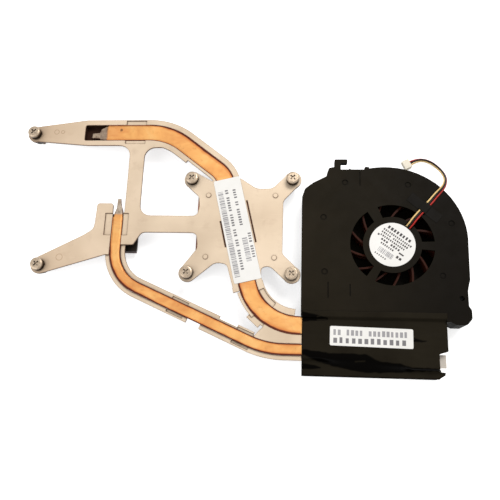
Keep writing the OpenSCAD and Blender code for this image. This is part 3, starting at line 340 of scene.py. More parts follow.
def plastic(name, low, high, rough=(0.42, 0.6), grain=1500, bump=0.16, metal=0.0, spec=0.4,
            edge_col=None, gap_shade_col=None, right_col=None, dust=None, dust_amount=0.3):
    """Plastic, rubber, paper or dull metal between two colours."""
    n = Net(name)
    col = n.ramp(n.noise(45, 4, 0.6), [(0.3, low), (0.7, high)])
    if right_col:
        to_right = n.math("MULTIPLY", n.math("SUBTRACT", n.axes()[0], 0.045), 16.0)
        col = n.mix(n.grey(to_right, [(0.0, 0.0), (1.0, 0.9)]), col, right_col)
    if dust:
        col = n.mix(n.grey(n.noise(900, 3, 0.7), [(0.68, 0.0), (0.8, dust_amount)]), col, dust)
    if edge_col:
        col = n.mix(n.edge(0.0003), col, edge_col)
    # Painted shade: walls and narrow gaps take the darker colour.
    if gap_shade_col:
        col = n.mix(n.grey(n.upward(), [(0.15, 0.9), (0.7, 0.0)]), col, gap_shade_col)
        col = n.mix(n.math("MULTIPLY", n.shade_in_gaps(0.0011, 0.5, 0.97), 0.9), col, gap_shade_col)
    r = n.grey(n.noise(150), [(0.3, rough[0]), (0.7, rough[1])])
    n.bump(n.noise(grain, 3, 0.6), bump, 0.0001, 0.00022)
    return n.set(colour=col, metal=metal, rough=r, spec=spec)


def metal(name, low, high, rough=(0.25, 0.4), brush=(2500, 120, 120), amount=0.1, metallic=1.0,
          edge_col=None, gap_shade_col=None):
    """Brushed bare metal between two colours."""
    n = Net(name)
    streak = n.noise(1.0, 3, vector=n.mapped(brush))
    col = n.ramp(streak, [(0.3, low), (0.7, high)])
    if edge_col:
        col = n.mix(n.edge(0.00015), col, edge_col)
    # Painted shade: walls and narrow gaps take the darker colour.
    if gap_shade_col:
        col = n.mix(n.grey(n.upward(), [(0.1, 0.85), (0.55, 0.0)]), col, gap_shade_col)
        col = n.mix(n.math("MULTIPLY", n.shade_in_gaps(0.0007, 0.3, 0.85), 0.9), col, gap_shade_col)
    r = n.grey(n.noise(200), [(0.3, rough[0]), (0.7, rough[1])])
    n.bump(streak, amount, 0.00005, 0.0001)
    return n.set(colour=col, metal=metallic, rough=r)


def film(name):
    """Black film with painted reflection and shade: its shade attribute runs from the brown base, partly a
    painted sheen, at 0 to painted pitch black at 1.
    """
    n = Net(name)
    painted_shade = n.attribute("painted_shade")
    sheen = n.ramp(n.noise(60, 3), [(0.3, lin(27, 23, 16)), (0.7, lin(34, 30, 22))])
    col = n.mix(painted_shade, sheen, lin(3, 2, 1))
    n.bump(n.noise(260, 3, 0.5), 0.15, 0.0002)
    return n.set(colour=col, rough=n.grey(painted_shade, [(0.0, 0.42), (1.0, 0.24)]), spec=0.022)


WIRE_FINISH = {"rough": (0.35, 0.45), "grain": 700, "bump": 0.08}
INK_FINISH = {"rough": (0.5, 0.6), "grain": 1800, "bump": 0.05, "spec": 0.2}

PLASTICS = {
    "dark_block": dict(low=lin(30, 24, 20), high=lin(48, 40, 34), rough=(0.35, 0.5), grain=900, bump=0.2,
                       metal=0.4, spec=0.2),
    "thermal_pad": dict(low=lin(118, 104, 106), high=lin(150, 134, 134), rough=(0.6, 0.8), grain=1200,
                        bump=0.4),
    "dark_foam": dict(low=lin(42, 25, 19), high=lin(62, 41, 32), rough=(0.7, 0.9), grain=2200, bump=0.6,
                      spec=0.05),
    "end_plate": dict(low=lin(188, 179, 167), high=lin(217, 209, 200), rough=(0.4, 0.5), grain=900,
                      bump=0.1, metal=0.2),
    "tape": dict(low=lin(12, 9, 6), high=lin(17, 14, 9), rough=(0.4, 0.5), grain=900, bump=0.1, spec=0.05),
    "stamp_shade": dict(low=lin(163, 134, 108), high=lin(179, 150, 123), rough=(0.5, 0.6), bump=0.05, metal=0.2),
    "white_label": dict(low=lin(226, 224, 220), high=lin(238, 236, 232), rough=(0.45, 0.6), grain=1800,
                        bump=0.05),
    "label_ink": dict(low=lin(108, 106, 108), high=lin(134, 132, 134), **INK_FINISH),
    "pale_ink": dict(low=lin(146, 144, 146), high=lin(166, 164, 166), **INK_FINISH),
    "dark_ink": dict(low=lin(62, 58, 58), high=lin(88, 84, 84), **INK_FINISH),
    "black_plastic": dict(low=lin(26, 22, 14), high=lin(34, 29, 20), rough=(0.45, 0.58), grain=2400,
                          spec=0.04, edge_col=lin(38, 34, 27), gap_shade_col=lin(3, 2, 1),
                          right_col=lin(15, 12, 8), dust=lin(56, 50, 41), dust_amount=0.2),
    "circuit_board": dict(low=lin(8, 30, 18), high=lin(14, 42, 26), rough=(0.3, 0.4), grain=900, bump=0.1,
                          spec=0.2),
    "pale_plastic": dict(low=lin(222, 212, 190), high=lin(236, 228, 210), rough=(0.35, 0.5), bump=0.08),
    "magnet_rubber": dict(low=lin(38, 34, 32), high=lin(58, 52, 50), rough=(0.55, 0.7), bump=0.2),
    "impeller_plastic": dict(low=lin(40, 14, 8), high=lin(58, 26, 16), rough=(0.35, 0.5), grain=1800,
                             bump=0.1, spec=0.06, edge_col=lin(62, 46, 36), dust=lin(70, 60, 50)),
    "wire_red": dict(low=lin(150, 26, 18), high=lin(190, 44, 30), spec=0.3, **WIRE_FINISH),
    "wire_black": dict(low=lin(14, 10, 8), high=lin(22, 18, 15), spec=0.2, **WIRE_FINISH),
    "wire_cream": dict(low=lin(222, 184, 118), high=lin(238, 210, 150), spec=0.3, **WIRE_FINISH),
    "collar_black": dict(low=lin(12, 9, 7), high=lin(24, 19, 16), rough=(0.4, 0.55), bump=0.1, spec=0.15),
}
METALS = {
    "fin_aluminium": dict(low=lin(151, 144, 135), high=lin(193, 187, 180), rough=(0.35, 0.5),
                          brush=(120, 120, 2200), metallic=0.6),
    "motor_steel": dict(low=lin(128, 128, 130), high=lin(180, 180, 182)),
    "coil_wire": dict(low=lin(150, 66, 30), high=lin(216, 118, 60), rough=(0.2, 0.3),
                      brush=(300, 300, 6000), amount=0.5),
    "bearing_bronze": dict(low=lin(160, 118, 62), high=lin(205, 165, 98)),
    "shaft_steel": dict(low=lin(190, 190, 192), high=lin(225, 225, 228), rough=(0.1, 0.18)),
    "contact_metal": dict(low=lin(190, 170, 110), high=lin(225, 208, 150)),
    "screw_steel": dict(low=lin(158, 138, 114), high=lin(194, 177, 157), rough=(0.28, 0.42),
                        brush=(1500, 1500, 1500), amount=0.12, metallic=0.7,
                        edge_col=lin(222, 208, 190), gap_shade_col=lin(66, 48, 34)),
    "clip_steel": dict(low=lin(70, 66, 62), high=lin(110, 106, 100)),
    "spring_steel": dict(low=lin(26, 19, 13), high=lin(53, 43, 33), rough=(0.35, 0.5)),
}
WIDE_TIP = (0, -79.2, -1, (lin(102, 80, 64), lin(179, 159, 138)))
NARROW_TIP = (1, 6.5, 1, (lin(137, 117, 98), lin(200, 186, 168)))

M = {
    "bracket_sheet": sheet_metal("bracket_sheet"),
    "copper_wide": copper("copper_wide", tip=WIDE_TIP, mark=(-70.8, 57.0)),
    "copper_narrow": copper("copper_narrow", tip=NARROW_TIP),
    "copper_plate": copper("copper_plate", base=PLATE_COPPER, wall_shade_col=PLATE_WALL_SHADE),
    "pipe_shade_strip": shade_strip_copper("pipe_shade_strip"),
    "black_film": film("black_film"),
}
M.update({name: plastic(name, **look) for name, look in PLASTICS.items()})
M.update({name: metal(name, **look) for name, look in METALS.items()})

slot_of = {s["node"]: s["material_slot"] for s in frame["record"]["subparts"]}
nodes = frame["nodes"]


SPECIAL = {
    "wide_heat_pipe": "copper_wide",
    "narrow_heat_pipe": "copper_narrow",
    "wire_tape": "tape",
    "fin_end_plate": "end_plate",
}


def dress_nodes():
    """Give every CAD node the material of its slot, or a special one."""
    for name, slot in slot_of.items():
        data = nodes[name].data
        data.materials.clear()
        data.materials.append(M[SPECIAL.get(name, slot)])


def new_object(name, data, mat):
    """New piece on the module, with its material."""
    o = bpy.data.objects.new(name, data)
    scene.collection.objects.link(o)
    data.materials.append(M[mat])
    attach(o, "module")
    return o


def mesh_of(bm, name, smooth=False):
    """Mesh of a finished bmesh."""
    me = bpy.data.meshes.new(name)
    bm.to_mesh(me)
    bm.free()
    if smooth:
        me.shade_smooth()
    return me


def ease(t):
    """Soft step from 0 to 1."""
    t = min(max(t, 0.0), 1.0)
    return t * t * (3 - 2 * t)


# Fan lead: course of the middle wire and distance of the outer ones from it, in mm
LEAD = [
    (87.7, -0.6, 5.6, 1.05), (88.8, 0.6, 5.9, 1.05), (89.9, 1.9, 6.8, 1.05), (91, 3.4, 7.45, 1.05),
    (93.3, 6.2, 7.5, 1.05), (96.4, 9.6, 7.5, 1.05), (99.7, 13.2, 7.5, 1.05), (103, 17.2, 7.5, 1),
    (105.1, 19.5, 7.55, 0.9), (106.5, 21.2, 7.55, 0.8), (107.7, 23.2, 6.9, 0.65),
    (108.8, 26.2, 5.1, 0.55), (109.2, 29.3, 2.8, 0.55), (108.9, 32.5, 0.4, 0.55), (108.1, 35.4, -1.9, 0.55),
    (106.6, 38.3, -3.8, 0.55), (104.4, 40.8, -5, 0.55), (101.6, 42.4, -5.5, 0.55),
    (98.4, 42.8, -5.5, 0.6), (95.2, 42, -5.5, 0.8), (92.6, 40.7, -5.5, 1.05),
]
WIRE_D = 0.9
# colour in the CAD, place beside the middle wire, material, pieces on its end
WIRES = [
    ("red", -1, "wire_red", ["plug_housing"]),
    ("black", 0, "wire_black", ["plug_housing", "plug_contacts"]),
    ("white", 1, "wire_cream", ["plug_housing"]),
]


def wire_course(k):
    """Points of the wire on side k, in mm; the middle wire lies on the others where they meet."""
    out = []
    for i, (x, y, z, apart) in enumerate(LEAD):
        a, b = LEAD[max(i - 1, 0)], LEAD[min(i + 1, len(LEAD) - 1)]
        dx, dy = b[0] - a[0], b[1] - a[1]
        n = math.hypot(dx, dy)
        lift = math.sqrt(max(1.0 - apart * apart, 0.0)) if k == 0 else 0.0
        out.append(Vector((x - dy / n * k * apart, y + dx / n * k * apart, z + lift)))
    return out


def spline_points(points, per=6):
    """Catmull-Rom line through the points."""
    out = []
    n = len(points)
    for i in range(n - 1):
        p0, p1 = points[max(i - 1, 0)], points[i]
        p2, p3 = points[i + 1], points[min(i + 2, n - 1)]
        for k in range(per):
            t = k / per
            out.append(0.5 * ((2 * p1) + (p2 - p0) * t + (2 * p0 - 5 * p1 + 4 * p2 - p3) * t * t
                              + (3 * p1 - p0 - 3 * p2 + p3) * t * t * t))
    out.append(points[-1])
    return out


def make_lead():
    for colour, k, mat, ends in WIRES:
        pts = spline_points(wire_course(k))
        c = bpy.data.curves.new("lead_" + colour, "CURVE")
        c.dimensions = "3D"
        c.bevel_depth = WIRE_D / 2 * MM
        c.bevel_resolution = 4
        c.use_fill_caps = True
        s = c.splines.new("POLY")
        s.points.add(len(pts) - 1)
        for q, p in zip(s.points, pts):
            q.co = (p.x * MM, p.y * MM, p.z * MM, 1)
        o = new_object("lead_" + colour, c, mat)
        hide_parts("wire_" + colour)


# Coil springs under the screw heads
SPRINGS = 6
SPRING_TURNS = 3
SPRING_WIRE_R = 0.25
FLAT_END = 0.08


def spring_rise(t):
    """Share of the height reached at share t of the coil, flat at both ends."""
    t = min(max((t - FLAT_END) / (1 - 2 * FLAT_END), 0), 1)
    return ease(t) * 0.35 + t * 0.65


def make_spring(k):
    low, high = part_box("spring_%d" % k)
    middle = (low + high) / 2
    wire = SPRING_WIRE_R * MM
    radius = (high.y - low.y) / 2 - wire
    foot, head = low.z + wire, high.z - wire
    steps, sides = 24 * SPRING_TURNS, 10
    bm = bmesh.new()
    rings = []
    for i in range(steps + 1):
        a = math.tau * SPRING_TURNS * i / steps
        z = foot + (head - foot) * spring_rise(i / steps)
        ring = []
        for j in range(sides):
            b = math.tau * j / sides
            out = radius + wire * math.cos(b)
            ring.append(bm.verts.new((middle.x + out * math.cos(a), middle.y + out * math.sin(a),
                                      z + wire * math.sin(b))))
        rings.append(ring)
    for r, s in zip(rings, rings[1:]):
        for j in range(sides):
            m = (j + 1) % sides
            bm.faces.new((r[j], s[j], s[m], r[m]))
    bm.faces.new(rings[0])
    bm.faces.new(rings[-1][::-1])
    bmesh.ops.recalc_face_normals(bm, faces=bm.faces)
    name = "coil_spring_%d" % k
    o = new_object(name, mesh_of(bm, name, smooth=True), "spring_steel")
    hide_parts("spring_%d" % k)
    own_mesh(o)


def make_springs():
    for k in range(1, SPRINGS + 1):
        make_spring(k)


# Courses of the pipes as in the CAD: corners with the radius of their bends, in mm
WIDE = [(-78.6, 55.3), (-42.9, 55.3, 33), (-10.1, 29.6, 16), (9.7, -52.8, 27.5), (33.2, -52.8)]
NARROW = [(-68.1, 4.5), (-68.1, -28.6, 22.5), (14.6, -65, 45), (33.2, -65)]
WIDE_EDGE, NARROW_EDGE = 4.78, 2.98
SHADE_STRIP_Z = 4.83
# Painted shade beside the pipes, as dark strips on the sheet: name, pipe, side, its edge, and the width of
# the dark part by the distance along the pipe
PIPE_SHADE_STRIPS = [
    ("wide_seam_outer", WIDE, 1, WIDE_EDGE,
     [(0, 0.35), (24, 0.4), (40, 1.0), (62, 1.15), (78, 0.7), (140, 0.5), (150, 0.9), (156, 0.5),
      (220, 0.35)]),
    ("wide_seam_inner", WIDE, -1, WIDE_EDGE,
     [(0, 0.3), (40, 0.35), (70, 0.35), (120, 0.5), (142, 0.9), (160, 1.15), (190, 0.8), (220, 0.7)]),
    ("narrow_seam_outer", NARROW, -1, NARROW_EDGE,
     [(0, 0.3), (14, 0.4), (20, 0.95), (46, 1.0), (60, 0.55), (110, 0.6), (130, 0.8), (200, 0.75)]),
    ("narrow_seam_inner", NARROW, 1, NARROW_EDGE,
     [(0, 0.25), (20, 0.3), (46, 0.5), (110, 0.45), (130, 0.6), (200, 0.5)]),
]
# share of the dark width from the edge, painted shade there, drop in mm
SHADE_STRIP_PROFILE = [(0.0, 1.0, 0.0), (0.75, 0.85, 0.0), (1.15, 0.5, 0.0), (2.3, 0.0, 0.02)]


def smooth_path(path, steps=14):
    """Line along a path with its bends rounded."""
    out = [Vector(path[0])]
    for p, q, s in zip(path, path[1:], path[2:]):
        a = (Vector(q[:2]) - Vector(p[:2])).normalized()
        b = (Vector(s[:2]) - Vector(q[:2])).normalized()
        turn = math.atan2(a.x * b.y - a.y * b.x, a.dot(b))
        side = 1 if turn > 0 else -1
        start = Vector(q[:2]) - a * q[2] * math.tan(abs(turn) / 2)
        middle = start + Vector((-a.y, a.x)) * side * q[2]
        arm = start - middle
        for i in range(steps + 1):
            t = turn * i / steps
            out.append(middle + Vector((arm.x * math.cos(t) - arm.y * math.sin(t),
                                        arm.x * math.sin(t) + arm.y * math.cos(t))))
    out.append(Vector(path[-1]))
    return out


def evenly(line, step=1.0):
    """Points at even distances along a line, with its directions."""
    out, left = [], 0.0
    for a, b in zip(line, line[1:]):
        d = (b - a).length
        while left <= d:
            out.append(a + (b - a) * left / d)
            left += step
        left -= d
    last = len(out) - 1
    ways = [(out[min(i + 1, last)] - out[max(i - 1, 0)]).normalized() for i in range(last + 1)]
    return out, ways


def value_at(steps, x):
    """Value at x between (x, value) steps, the last one beyond them."""
    for a, b in zip(steps, steps[1:]):
        if a[0] <= x < b[0]:
            return a[1] + (b[1] - a[1]) * (x - a[0]) / (b[0] - a[0])
    return steps[-1][1]


def make_shade_strip(name, path, side, outside, widths):
    """Ribbon of painted shade along one side of a pipe."""
    points, ways = evenly(smooth_path(path))
    bm = bmesh.new()
    painted_shade = bm.verts.layers.float.new("painted_shade")
    rows = []
    for i, (p, w) in enumerate(zip(points, ways)):
        dark = value_at(widths, i)
        dark *= 1 + 0.25 * noise.noise(Vector((i * 0.25, side, len(name))))
        normal = Vector((-w.y, w.x)) * side
        row = []
        for share, value, drop in SHADE_STRIP_PROFILE:
            q = p + normal * (outside - dark * share)
            v = bm.verts.new((q.x * MM, q.y * MM, (SHADE_STRIP_Z - drop) * MM))
            v[painted_shade] = value
            row.append(v)
        rows.append(row)
    for r, s in zip(rows, rows[1:]):
        for k in range(len(SHADE_STRIP_PROFILE) - 1):
            bm.faces.new((r[k], s[k], s[k + 1], r[k + 1]))
    bmesh.ops.recalc_face_normals(bm, faces=bm.faces)
    if sum(f.normal.z for f in bm.faces) < 0:
        bmesh.ops.reverse_faces(bm, faces=bm.faces)
    new_object(name, mesh_of(bm, name), "pipe_shade_strip")


def make_shade_strips():
    for shade_strip in PIPE_SHADE_STRIPS:
        make_shade_strip(*shade_strip)


# Plain stamped rings on the two outer arms, drawn as flat rings painted darker for the shade of the stamped
# relief: x, y, outer radius in mm
RINGS = [(-108.9, 55.9, 1.5), (-105.3, 55.9, 1.1), (-98.5, -18.6, 1.9)]
RING_WIDTH = 0.28
RING_Z = 5.012


def make_rings():
    count = 32
    for k, (x, y, r) in enumerate(RINGS):
        bm = bmesh.new()
        rim = []
        for i in range(count):
            c, s = math.cos(math.tau * i / count), math.sin(math.tau * i / count)
            rim.append([bm.verts.new(((x + q * c) * MM, (y + q * s) * MM, RING_Z * MM))
                        for q in (r - RING_WIDTH, r)])
        for i in range(count):
            a, b = rim[i], rim[(i + 1) % count]
            bm.faces.new((a[0], a[1], b[1], b[0]))
        name = "stamped_ring_%d" % (k + 1)
        new_object(name, mesh_of(bm, name), "stamp_shade")


# Film over the duct: bands as (x, y of the middle, half width) in mm. FOLD is where it drops to the
# lower sheet, its band also painted dark as shade; SHADE are creases with painted shade, SHINE are painted
# highlights
FOLD = [
    (33.0, -66.4, 1.5), (34.5, -66.5, 1.62), (41.5, -68.0, 2.43), (50.0, -69.6, 3.24), (58.4, -70.3, 4.05),
    (65.3, -70.9, 4.32), (72.2, -72.6, 2.7), (81.9, -72.6, 2.16), (87.7, -73.4, 0.86),
    (103.2, -73.1, 0.49), (106.0, -73.1, 0.45),
]
SHADE = [
    [(33.0, -48.3, 2.5), (46.4, -49.3, 0.54)],
    [(33.0, -72.9, 1.5), (39.1, -73.2, 1.08), (43.0, -73.4, 0.3)],
    [(88.0, -58.8, 1.08), (95.3, -59.4, 0.16)],
]
SHINE = [
    [(40.8, -48.4, 0.3), (47.9, -46.2, 0.5)],
    [(41.0, -49.8, 0.3), (45.8, -49.4, 0.25)],
    [(34.0, -67.9, 0.6), (40.5, -70.8, 0.54), (44.5, -71.6, 0.1)],
    [(59.5, -70.2, 0.3), (64.9, -69.8, 0.3)],
]


FILM_T = 0.12
FILM_BACK, FILM_FRONT = -45.3, -77.62
FILM_LEFT = 33.3
# heights of the three levels: on the fan, over the fins and below the fold
FAN_Z, FINS_Z, LOW_Z = 7.14, 5.24, 1.75
FAN_EDGE_Y = -49.8
LIP_Y = -77.1
# right edge: the tab, the cut beside the end plate and the lower corner
TAB_X, CUT_X, CORNER_X = 105.5, 101.1, 104.4
TAB_Y, CUT_FROM_Y, CUT_TO_Y, CORNER_Y = -64.0, -65.6, -73.9, -74.3
FINE_ROWS = [(-50.2, -47.4), (-66.0, -63.6), (-74.6, -73.6)]
FILM_FLOOR = [(FILM_LEFT, -77.5), (101.6, -77.5), (103.4, -74.9), (104.2, -72.6), (101, -72.6),
              (101, -48.3), (FILM_LEFT, -48.3)]
FILM_FLAP = [(105.3, -64.0), (105.48, -64.0), (105.48, -49.9), (105.3, -49.9)]


def along(points, x):
    """Middle and half width of a band at x."""
    for a, b in zip(points, points[1:]):
        if a[0] <= x <= b[0]:
            t = (x - a[0]) / (b[0] - a[0])
            return a[1] + (b[1] - a[1]) * t, a[2] + (b[2] - a[2]) * t
    return None


def in_band(points, x, y, soft=0.35):
    """1 inside a band, 0 outside, with a soft border."""
    here = along(points, x)
    if here is None:
        return 0.0
    return ease((here[1] + soft - abs(y - here[0])) / (2 * soft))


def film_height(x, y):
    """Height of the film's upper side, in mm."""
    mid, half = along(FOLD, min(max(x, FOLD[0][0]), FOLD[-1][0]))
    fold_from = min(mid + half, -68.4)
    fold_to = min(mid - half, fold_from - 2.2)
    z = FINS_Z + (FAN_Z - FINS_Z) * ease((y - FAN_EDGE_Y) / 1.9)
    z -= (FINS_Z - LOW_Z) * ease((fold_from - y) / (fold_from - fold_to))
    z -= 0.5 * ease((LIP_Y - y) / 0.6)
    if y < FAN_EDGE_Y:
        z += 0.06 * noise.noise(Vector((x * 0.16, y * 0.5, 1.0)))
    return z


def film_shade(x, y):
    """Painted shade of the film: 1 in the fold, the creases and along its edges, less in the painted
    highlights.
    """
    jig = 0.5 * noise.noise(Vector((x * 0.35, y * 0.35, 4.0)))
    painted_shade = in_band(FOLD, x, y + jig)
    for band in SHADE:
        painted_shade = max(painted_shade, in_band(band, x, y + jig * 0.5))
    for band in SHINE:
        painted_shade = min(painted_shade, 1.0 - 0.75 * in_band(band, x, y, 0.25))
    return max(painted_shade, 0.9 * ease((-77.05 - y) / 0.3), 0.8 * ease((34.0 - x) / 0.6))


def film_right(y):
    """Right edge of the upper sheet at y."""
    if y > TAB_Y:
        return TAB_X
    if y > CUT_FROM_Y:
        return 105.4 - 4.0 * ease((TAB_Y - y) / 1.6)
    if y > CUT_TO_Y:
        return CUT_X
    if y > CORNER_Y:
        return CUT_X + 3.3 * ease((CUT_TO_Y - y) / 0.4)
    return CORNER_X - 3.0 * ease((-75.2 - y) / 2.5)


def film_rows():
    """Places of the film's rows, closer where it bends or its edge turns."""
    rows, y = [], FILM_BACK
    while y > FILM_FRONT:
        rows.append(y)
        fine = any(low < y < high for low, high in FINE_ROWS)
        y -= 0.14 if fine else 0.34
    return rows + [FILM_FRONT]


def rim_face(bm, a, b, flip):
    quad = (a[0], a[1], b[1], b[0])
    bm.faces.new(quad[::-1] if flip else quad)


def film_sheet(bm, count=130):
    """The upper sheet, FILM_T thick, from the fan's cover over the fold to the front."""
    painted_shade = bm.verts.layers.float.new("painted_shade")
    grid = []
    for y in film_rows():
        right = film_right(y)
        line = []
        for i in range(count + 1):
            x = FILM_LEFT + (right - FILM_LEFT) * i / count
            z = film_height(x, y)
            pair = [bm.verts.new((x * MM, y * MM, (z - d) * MM)) for d in (0.0, FILM_T)]
            for v in pair:
                v[painted_shade] = film_shade(x, y)
            line.append(pair)
        grid.append(line)
    last = len(grid) - 1
    for j in range(last):
        for i in range(count):
            a, b, c, d = grid[j][i], grid[j][i + 1], grid[j + 1][i + 1], grid[j + 1][i]
            bm.faces.new((d[0], c[0], b[0], a[0]))
            bm.faces.new((a[1], b[1], c[1], d[1]))
        rim_face(bm, grid[j][0], grid[j + 1][0], False)
        rim_face(bm, grid[j][count], grid[j + 1][count], True)
    for j, flip in ((0, True), (last, False)):
        for i in range(count):
            rim_face(bm, grid[j][i], grid[j][i + 1], flip)


def film_box(bm, outline, z0, z1):
    low = [bm.verts.new((x * MM, y * MM, z0 * MM)) for x, y in outline]
    high = [bm.verts.new((x * MM, y * MM, z1 * MM)) for x, y in outline]
    n = len(outline)
    bm.faces.new(low[::-1])
    bm.faces.new(high)
    for i in range(n):
        k = (i + 1) % n
        bm.faces.new((low[i], low[k], high[k], high[i]))


def make_film():
    """Film round the duct: upper sheet, lower sheet and the flap over the end of the wide pipe."""
    bm = bmesh.new()
    film_sheet(bm)
    film_box(bm, FILM_FLOOR, -5.66, -5.54)
    film_box(bm, FILM_FLAP, 2.5, 5.15)
    bmesh.ops.recalc_face_normals(bm, faces=bm.faces)
    o = new_object("duct_film", mesh_of(bm, "duct_film", smooth=True), "black_film")
    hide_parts("duct_wrap")


# Generic grey bars stand for the printing on the three labels: node, middle in mm, turn in degrees
PIPE_LABEL = ("pipe_label", (-1.99, -1.57), -76.48)
FAN_LABEL = ("fan_label", (79.6, -10.0), -36.0)
DUCT_LABEL = ("duct_label", (68.0, -58.0), -1.2)
PRINT_LIFT = 0.015
STRIPE_WIDTHS = (0.25, 0.25, 0.5, 0.75)
STRIPE_GAPS = (0.25, 0.25, 0.5)


def top_of(name):
    """Height of a node's top, in mm."""
    o = nodes[name]
    return max((o.matrix_world @ v.co).z for v in o.data.vertices) / MM


class Print:
    """Bars in one ink on a label; u runs along its lines and v across them, in mm."""

    def __init__(self, node, at, angle):
        self.at, self.angle = at, math.radians(angle)
        self.z = top_of(node) + PRINT_LIFT
        self.bars = []

    def bar(self, u0, v0, u1, v1):
        self.bars.append((u0, v0, u1, v1))

    def row(self, u0, u1, v, height, seed, size=0.95, gap=0.5, breaks=()):
        """Row of small blocks, with gaps at the given counts."""
        r = random.Random(seed)
        u, k = u0, 0
        while u + size <= u1:
            if k not in breaks:
                w = size * r.uniform(0.75, 1.0)
                self.bar(u, v - height / 2, u + w, v + height / 2 * r.uniform(0.7, 1.0))
            u += size + gap
            k += 1

    def stripes(self, u0, u1, v0, v1, seed):
        """Bars of random width across the row."""
        r = random.Random(seed)
        u = u0
        while u < u1:
            w = r.choice(STRIPE_WIDTHS)
            self.bar(u, v0, min(u + w, u1), v1)
            u += w + r.choice(STRIPE_GAPS)

    def build(self, name, mat):
        c, s = math.cos(self.angle), math.sin(self.angle)
        x0, y0 = self.at
        verts, faces = [], []
        for u0, v0, u1, v1 in self.bars:
            k = len(verts)
            for u, v in ((u0, v0), (u1, v0), (u1, v1), (u0, v1)):
                verts.append(((x0 + u * c - v * s) * MM, (y0 + u * s + v * c) * MM, self.z * MM))
            faces.append((k, k + 1, k + 2, k + 3))
        me = bpy.data.meshes.new(name)
        me.from_pydata(verts, [], faces)
        me.update()
        new_object(name, me, mat)


def print_labels():
    p = Print(*PIPE_LABEL)
    p.stripes(-22.5, 26.4, -6.3, -3.5, 3)
    p.build("pipe_label_bars", "pale_ink")
    p = Print(*PIPE_LABEL)
    p.row(-23, 23.6, -1.4, 1.7, 5, breaks=(2, 9, 15, 19, 23))
    p.row(-22.5, -0.5, 2.8, 1.7, 6, breaks=(4, 7))
    p.row(3.6, 18.2, 5.9, 1.7, 8, breaks=(4,))
    p.build("pipe_label_rows", "label_ink")
    p = Print(*PIPE_LABEL)
    p.stripes(5.8, 19.2, 1.5, 4.3, 9)
    p.build("pipe_label_code", "pale_ink")

    p = Print(*FAN_LABEL)
    p.row(-7.2, 7.6, 6.9, 1.8, 11, 1.3, 0.5)
    p.row(-8.4, 8.6, 4.6, 1.1, 12, 0.8, 0.35)
    p.row(-8.4, 8.0, 2.9, 1.1, 13, 0.8, 0.35, breaks=(5,))
    p.row(-8.0, 7.2, 1.2, 1.1, 14, 0.8, 0.35)
    p.row(-6.4, 5.6, -0.6, 1.3, 15, 1.0, 0.45, breaks=(3,))
    p.row(-5.4, 3.4, -2.5, 1.1, 16, 0.8, 0.35)
    p.row(5.2, 9.2, -4.2, 1.5, 17, 1.3, 0.4)
    p.row(-5.0, 2.8, -8.6, 0.9, 18, 0.7, 0.5)
    p.bar(-9.4, 0.0, -8.4, 1.0)
    p.bar(5.2, -2.2, 8.0, -1.4)
    p.build("fan_label_rows", "dark_ink")
    p = Print(*FAN_LABEL)
    p.stripes(-4.6, 4.0, -7.2, -4.4, 19)
    p.build("fan_label_bars", "pale_ink")

    p = Print(*DUCT_LABEL)
    p.row(-18.9, 18.6, 1.9, 3.0, 21, 1.55, 0.65, breaks=(2, 7))
    p.build("duct_label_upper", "pale_ink")
    p = Print(*DUCT_LABEL)
    p.row(-18.9, 18.6, -2.1, 2.9, 22, 1.9, 1.2)
    p.build("duct_label_lower", "label_ink")


# Stage and light
FLOOR_HALF = 4
FLOOR_COLOUR = 0.9
FLOOR_GLOW = 0.62
WORLD_LIGHT = 0.55
# name, place, size in metres, watts, colour
LAMPS = [
    ("key", (0.35, 0.55, 0.9), (0.6, 0.45), 7.0, (1.0, 0.98, 0.95)),
    ("fill", (-0.7, -0.3, 0.7), (0.7, 0.7), 3.0, (1, 1, 1)),
]


def seen_rays(tree):
    """1 for rays of the camera, of reflections and of glass, 0 for light."""
    path = tree.nodes.new("ShaderNodeLightPath")
    shown = path.outputs["Is Camera Ray"]
    for name in ("Is Glossy Ray", "Is Transmission Ray"):
        top = tree.nodes.new("ShaderNodeMath")
        top.operation = "MAXIMUM"
        tree.links.new(shown, top.inputs[0])
        tree.links.new(path.outputs[name], top.inputs[1])
        shown = top.outputs[0]
    return shown


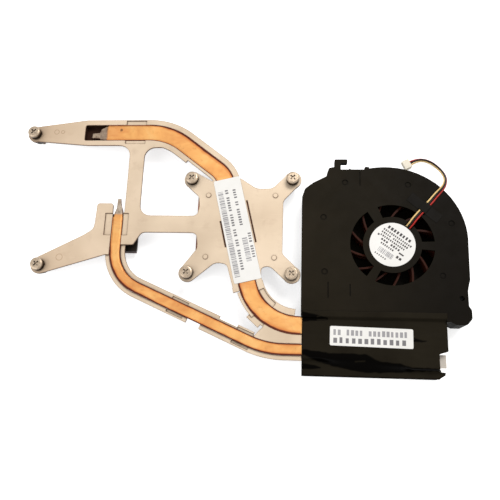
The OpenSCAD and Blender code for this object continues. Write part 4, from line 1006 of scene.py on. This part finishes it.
def floor_material():
    """Pale floor that shows white to the camera and keeps the object's shadow."""
    m = bpy.data.materials.new("floor")
    m.use_nodes = True
    t = m.node_tree
    t.nodes.clear()
    out = t.nodes.new("ShaderNodeOutputMaterial")
    diff = t.nodes.new("ShaderNodeBsdfDiffuse")
    diff.inputs["Color"].default_value = (FLOOR_COLOUR, FLOOR_COLOUR, FLOOR_COLOUR, 1)
    glow = t.nodes.new("ShaderNodeEmission")
    glow.inputs["Color"].default_value = (1, 1, 1, 1)
    level = t.nodes.new("ShaderNodeMath")
    level.operation = "MULTIPLY"
    level.inputs[1].default_value = FLOOR_GLOW
    t.links.new(seen_rays(t), level.inputs[0])
    t.links.new(level.outputs[0], glow.inputs["Strength"])
    add = t.nodes.new("ShaderNodeAddShader")
    t.links.new(diff.outputs[0], add.inputs[0])
    t.links.new(glow.outputs[0], add.inputs[1])
    t.links.new(add.outputs[0], out.inputs["Surface"])
    return m


def make_stage():
    bm = bmesh.new()
    bmesh.ops.create_grid(bm, x_segments=1, y_segments=1, size=FLOOR_HALF)
    me = mesh_of(bm, "floor")
    me.materials.append(floor_material())
    o = bpy.data.objects.new("floor", me)
    scene.collection.objects.link(o)
    o.location = (0, 0, cad_box[0].z)


def make_world():
    """White to the camera and in reflections, WORLD_LIGHT as light."""
    world = bpy.data.worlds.new("world")
    scene.world = world
    world.use_nodes = True
    t = world.node_tree
    back = t.nodes["Background"]
    back.inputs["Color"].default_value = (1, 1, 1, 1)
    level = t.nodes.new("ShaderNodeMath")
    level.operation = "MULTIPLY_ADD"
    level.inputs[1].default_value = 1 - WORLD_LIGHT
    level.inputs[2].default_value = WORLD_LIGHT
    t.links.new(seen_rays(t), level.inputs[0])
    t.links.new(level.outputs[0], back.inputs["Strength"])


def make_lamps():
    """Square lamps that face the object's middle."""
    for name, at, size, power, colour in LAMPS:
        d = bpy.data.lights.new(name, "AREA")
        d.shape = "RECTANGLE"
        d.size, d.size_y = size
        d.energy = power
        d.color = colour
        o = bpy.data.objects.new(name, d)
        scene.collection.objects.link(o)
        o.location = at
        o.rotation_mode = "QUATERNION"
        o.rotation_quaternion = (-Vector(at)).to_track_quat("-Z", "Y")


make_camera()
dress_nodes()
make_lead()
make_springs()
make_film()
make_shade_strips()
make_rings()
print_labels()
make_stage()
make_world()
make_lamps()
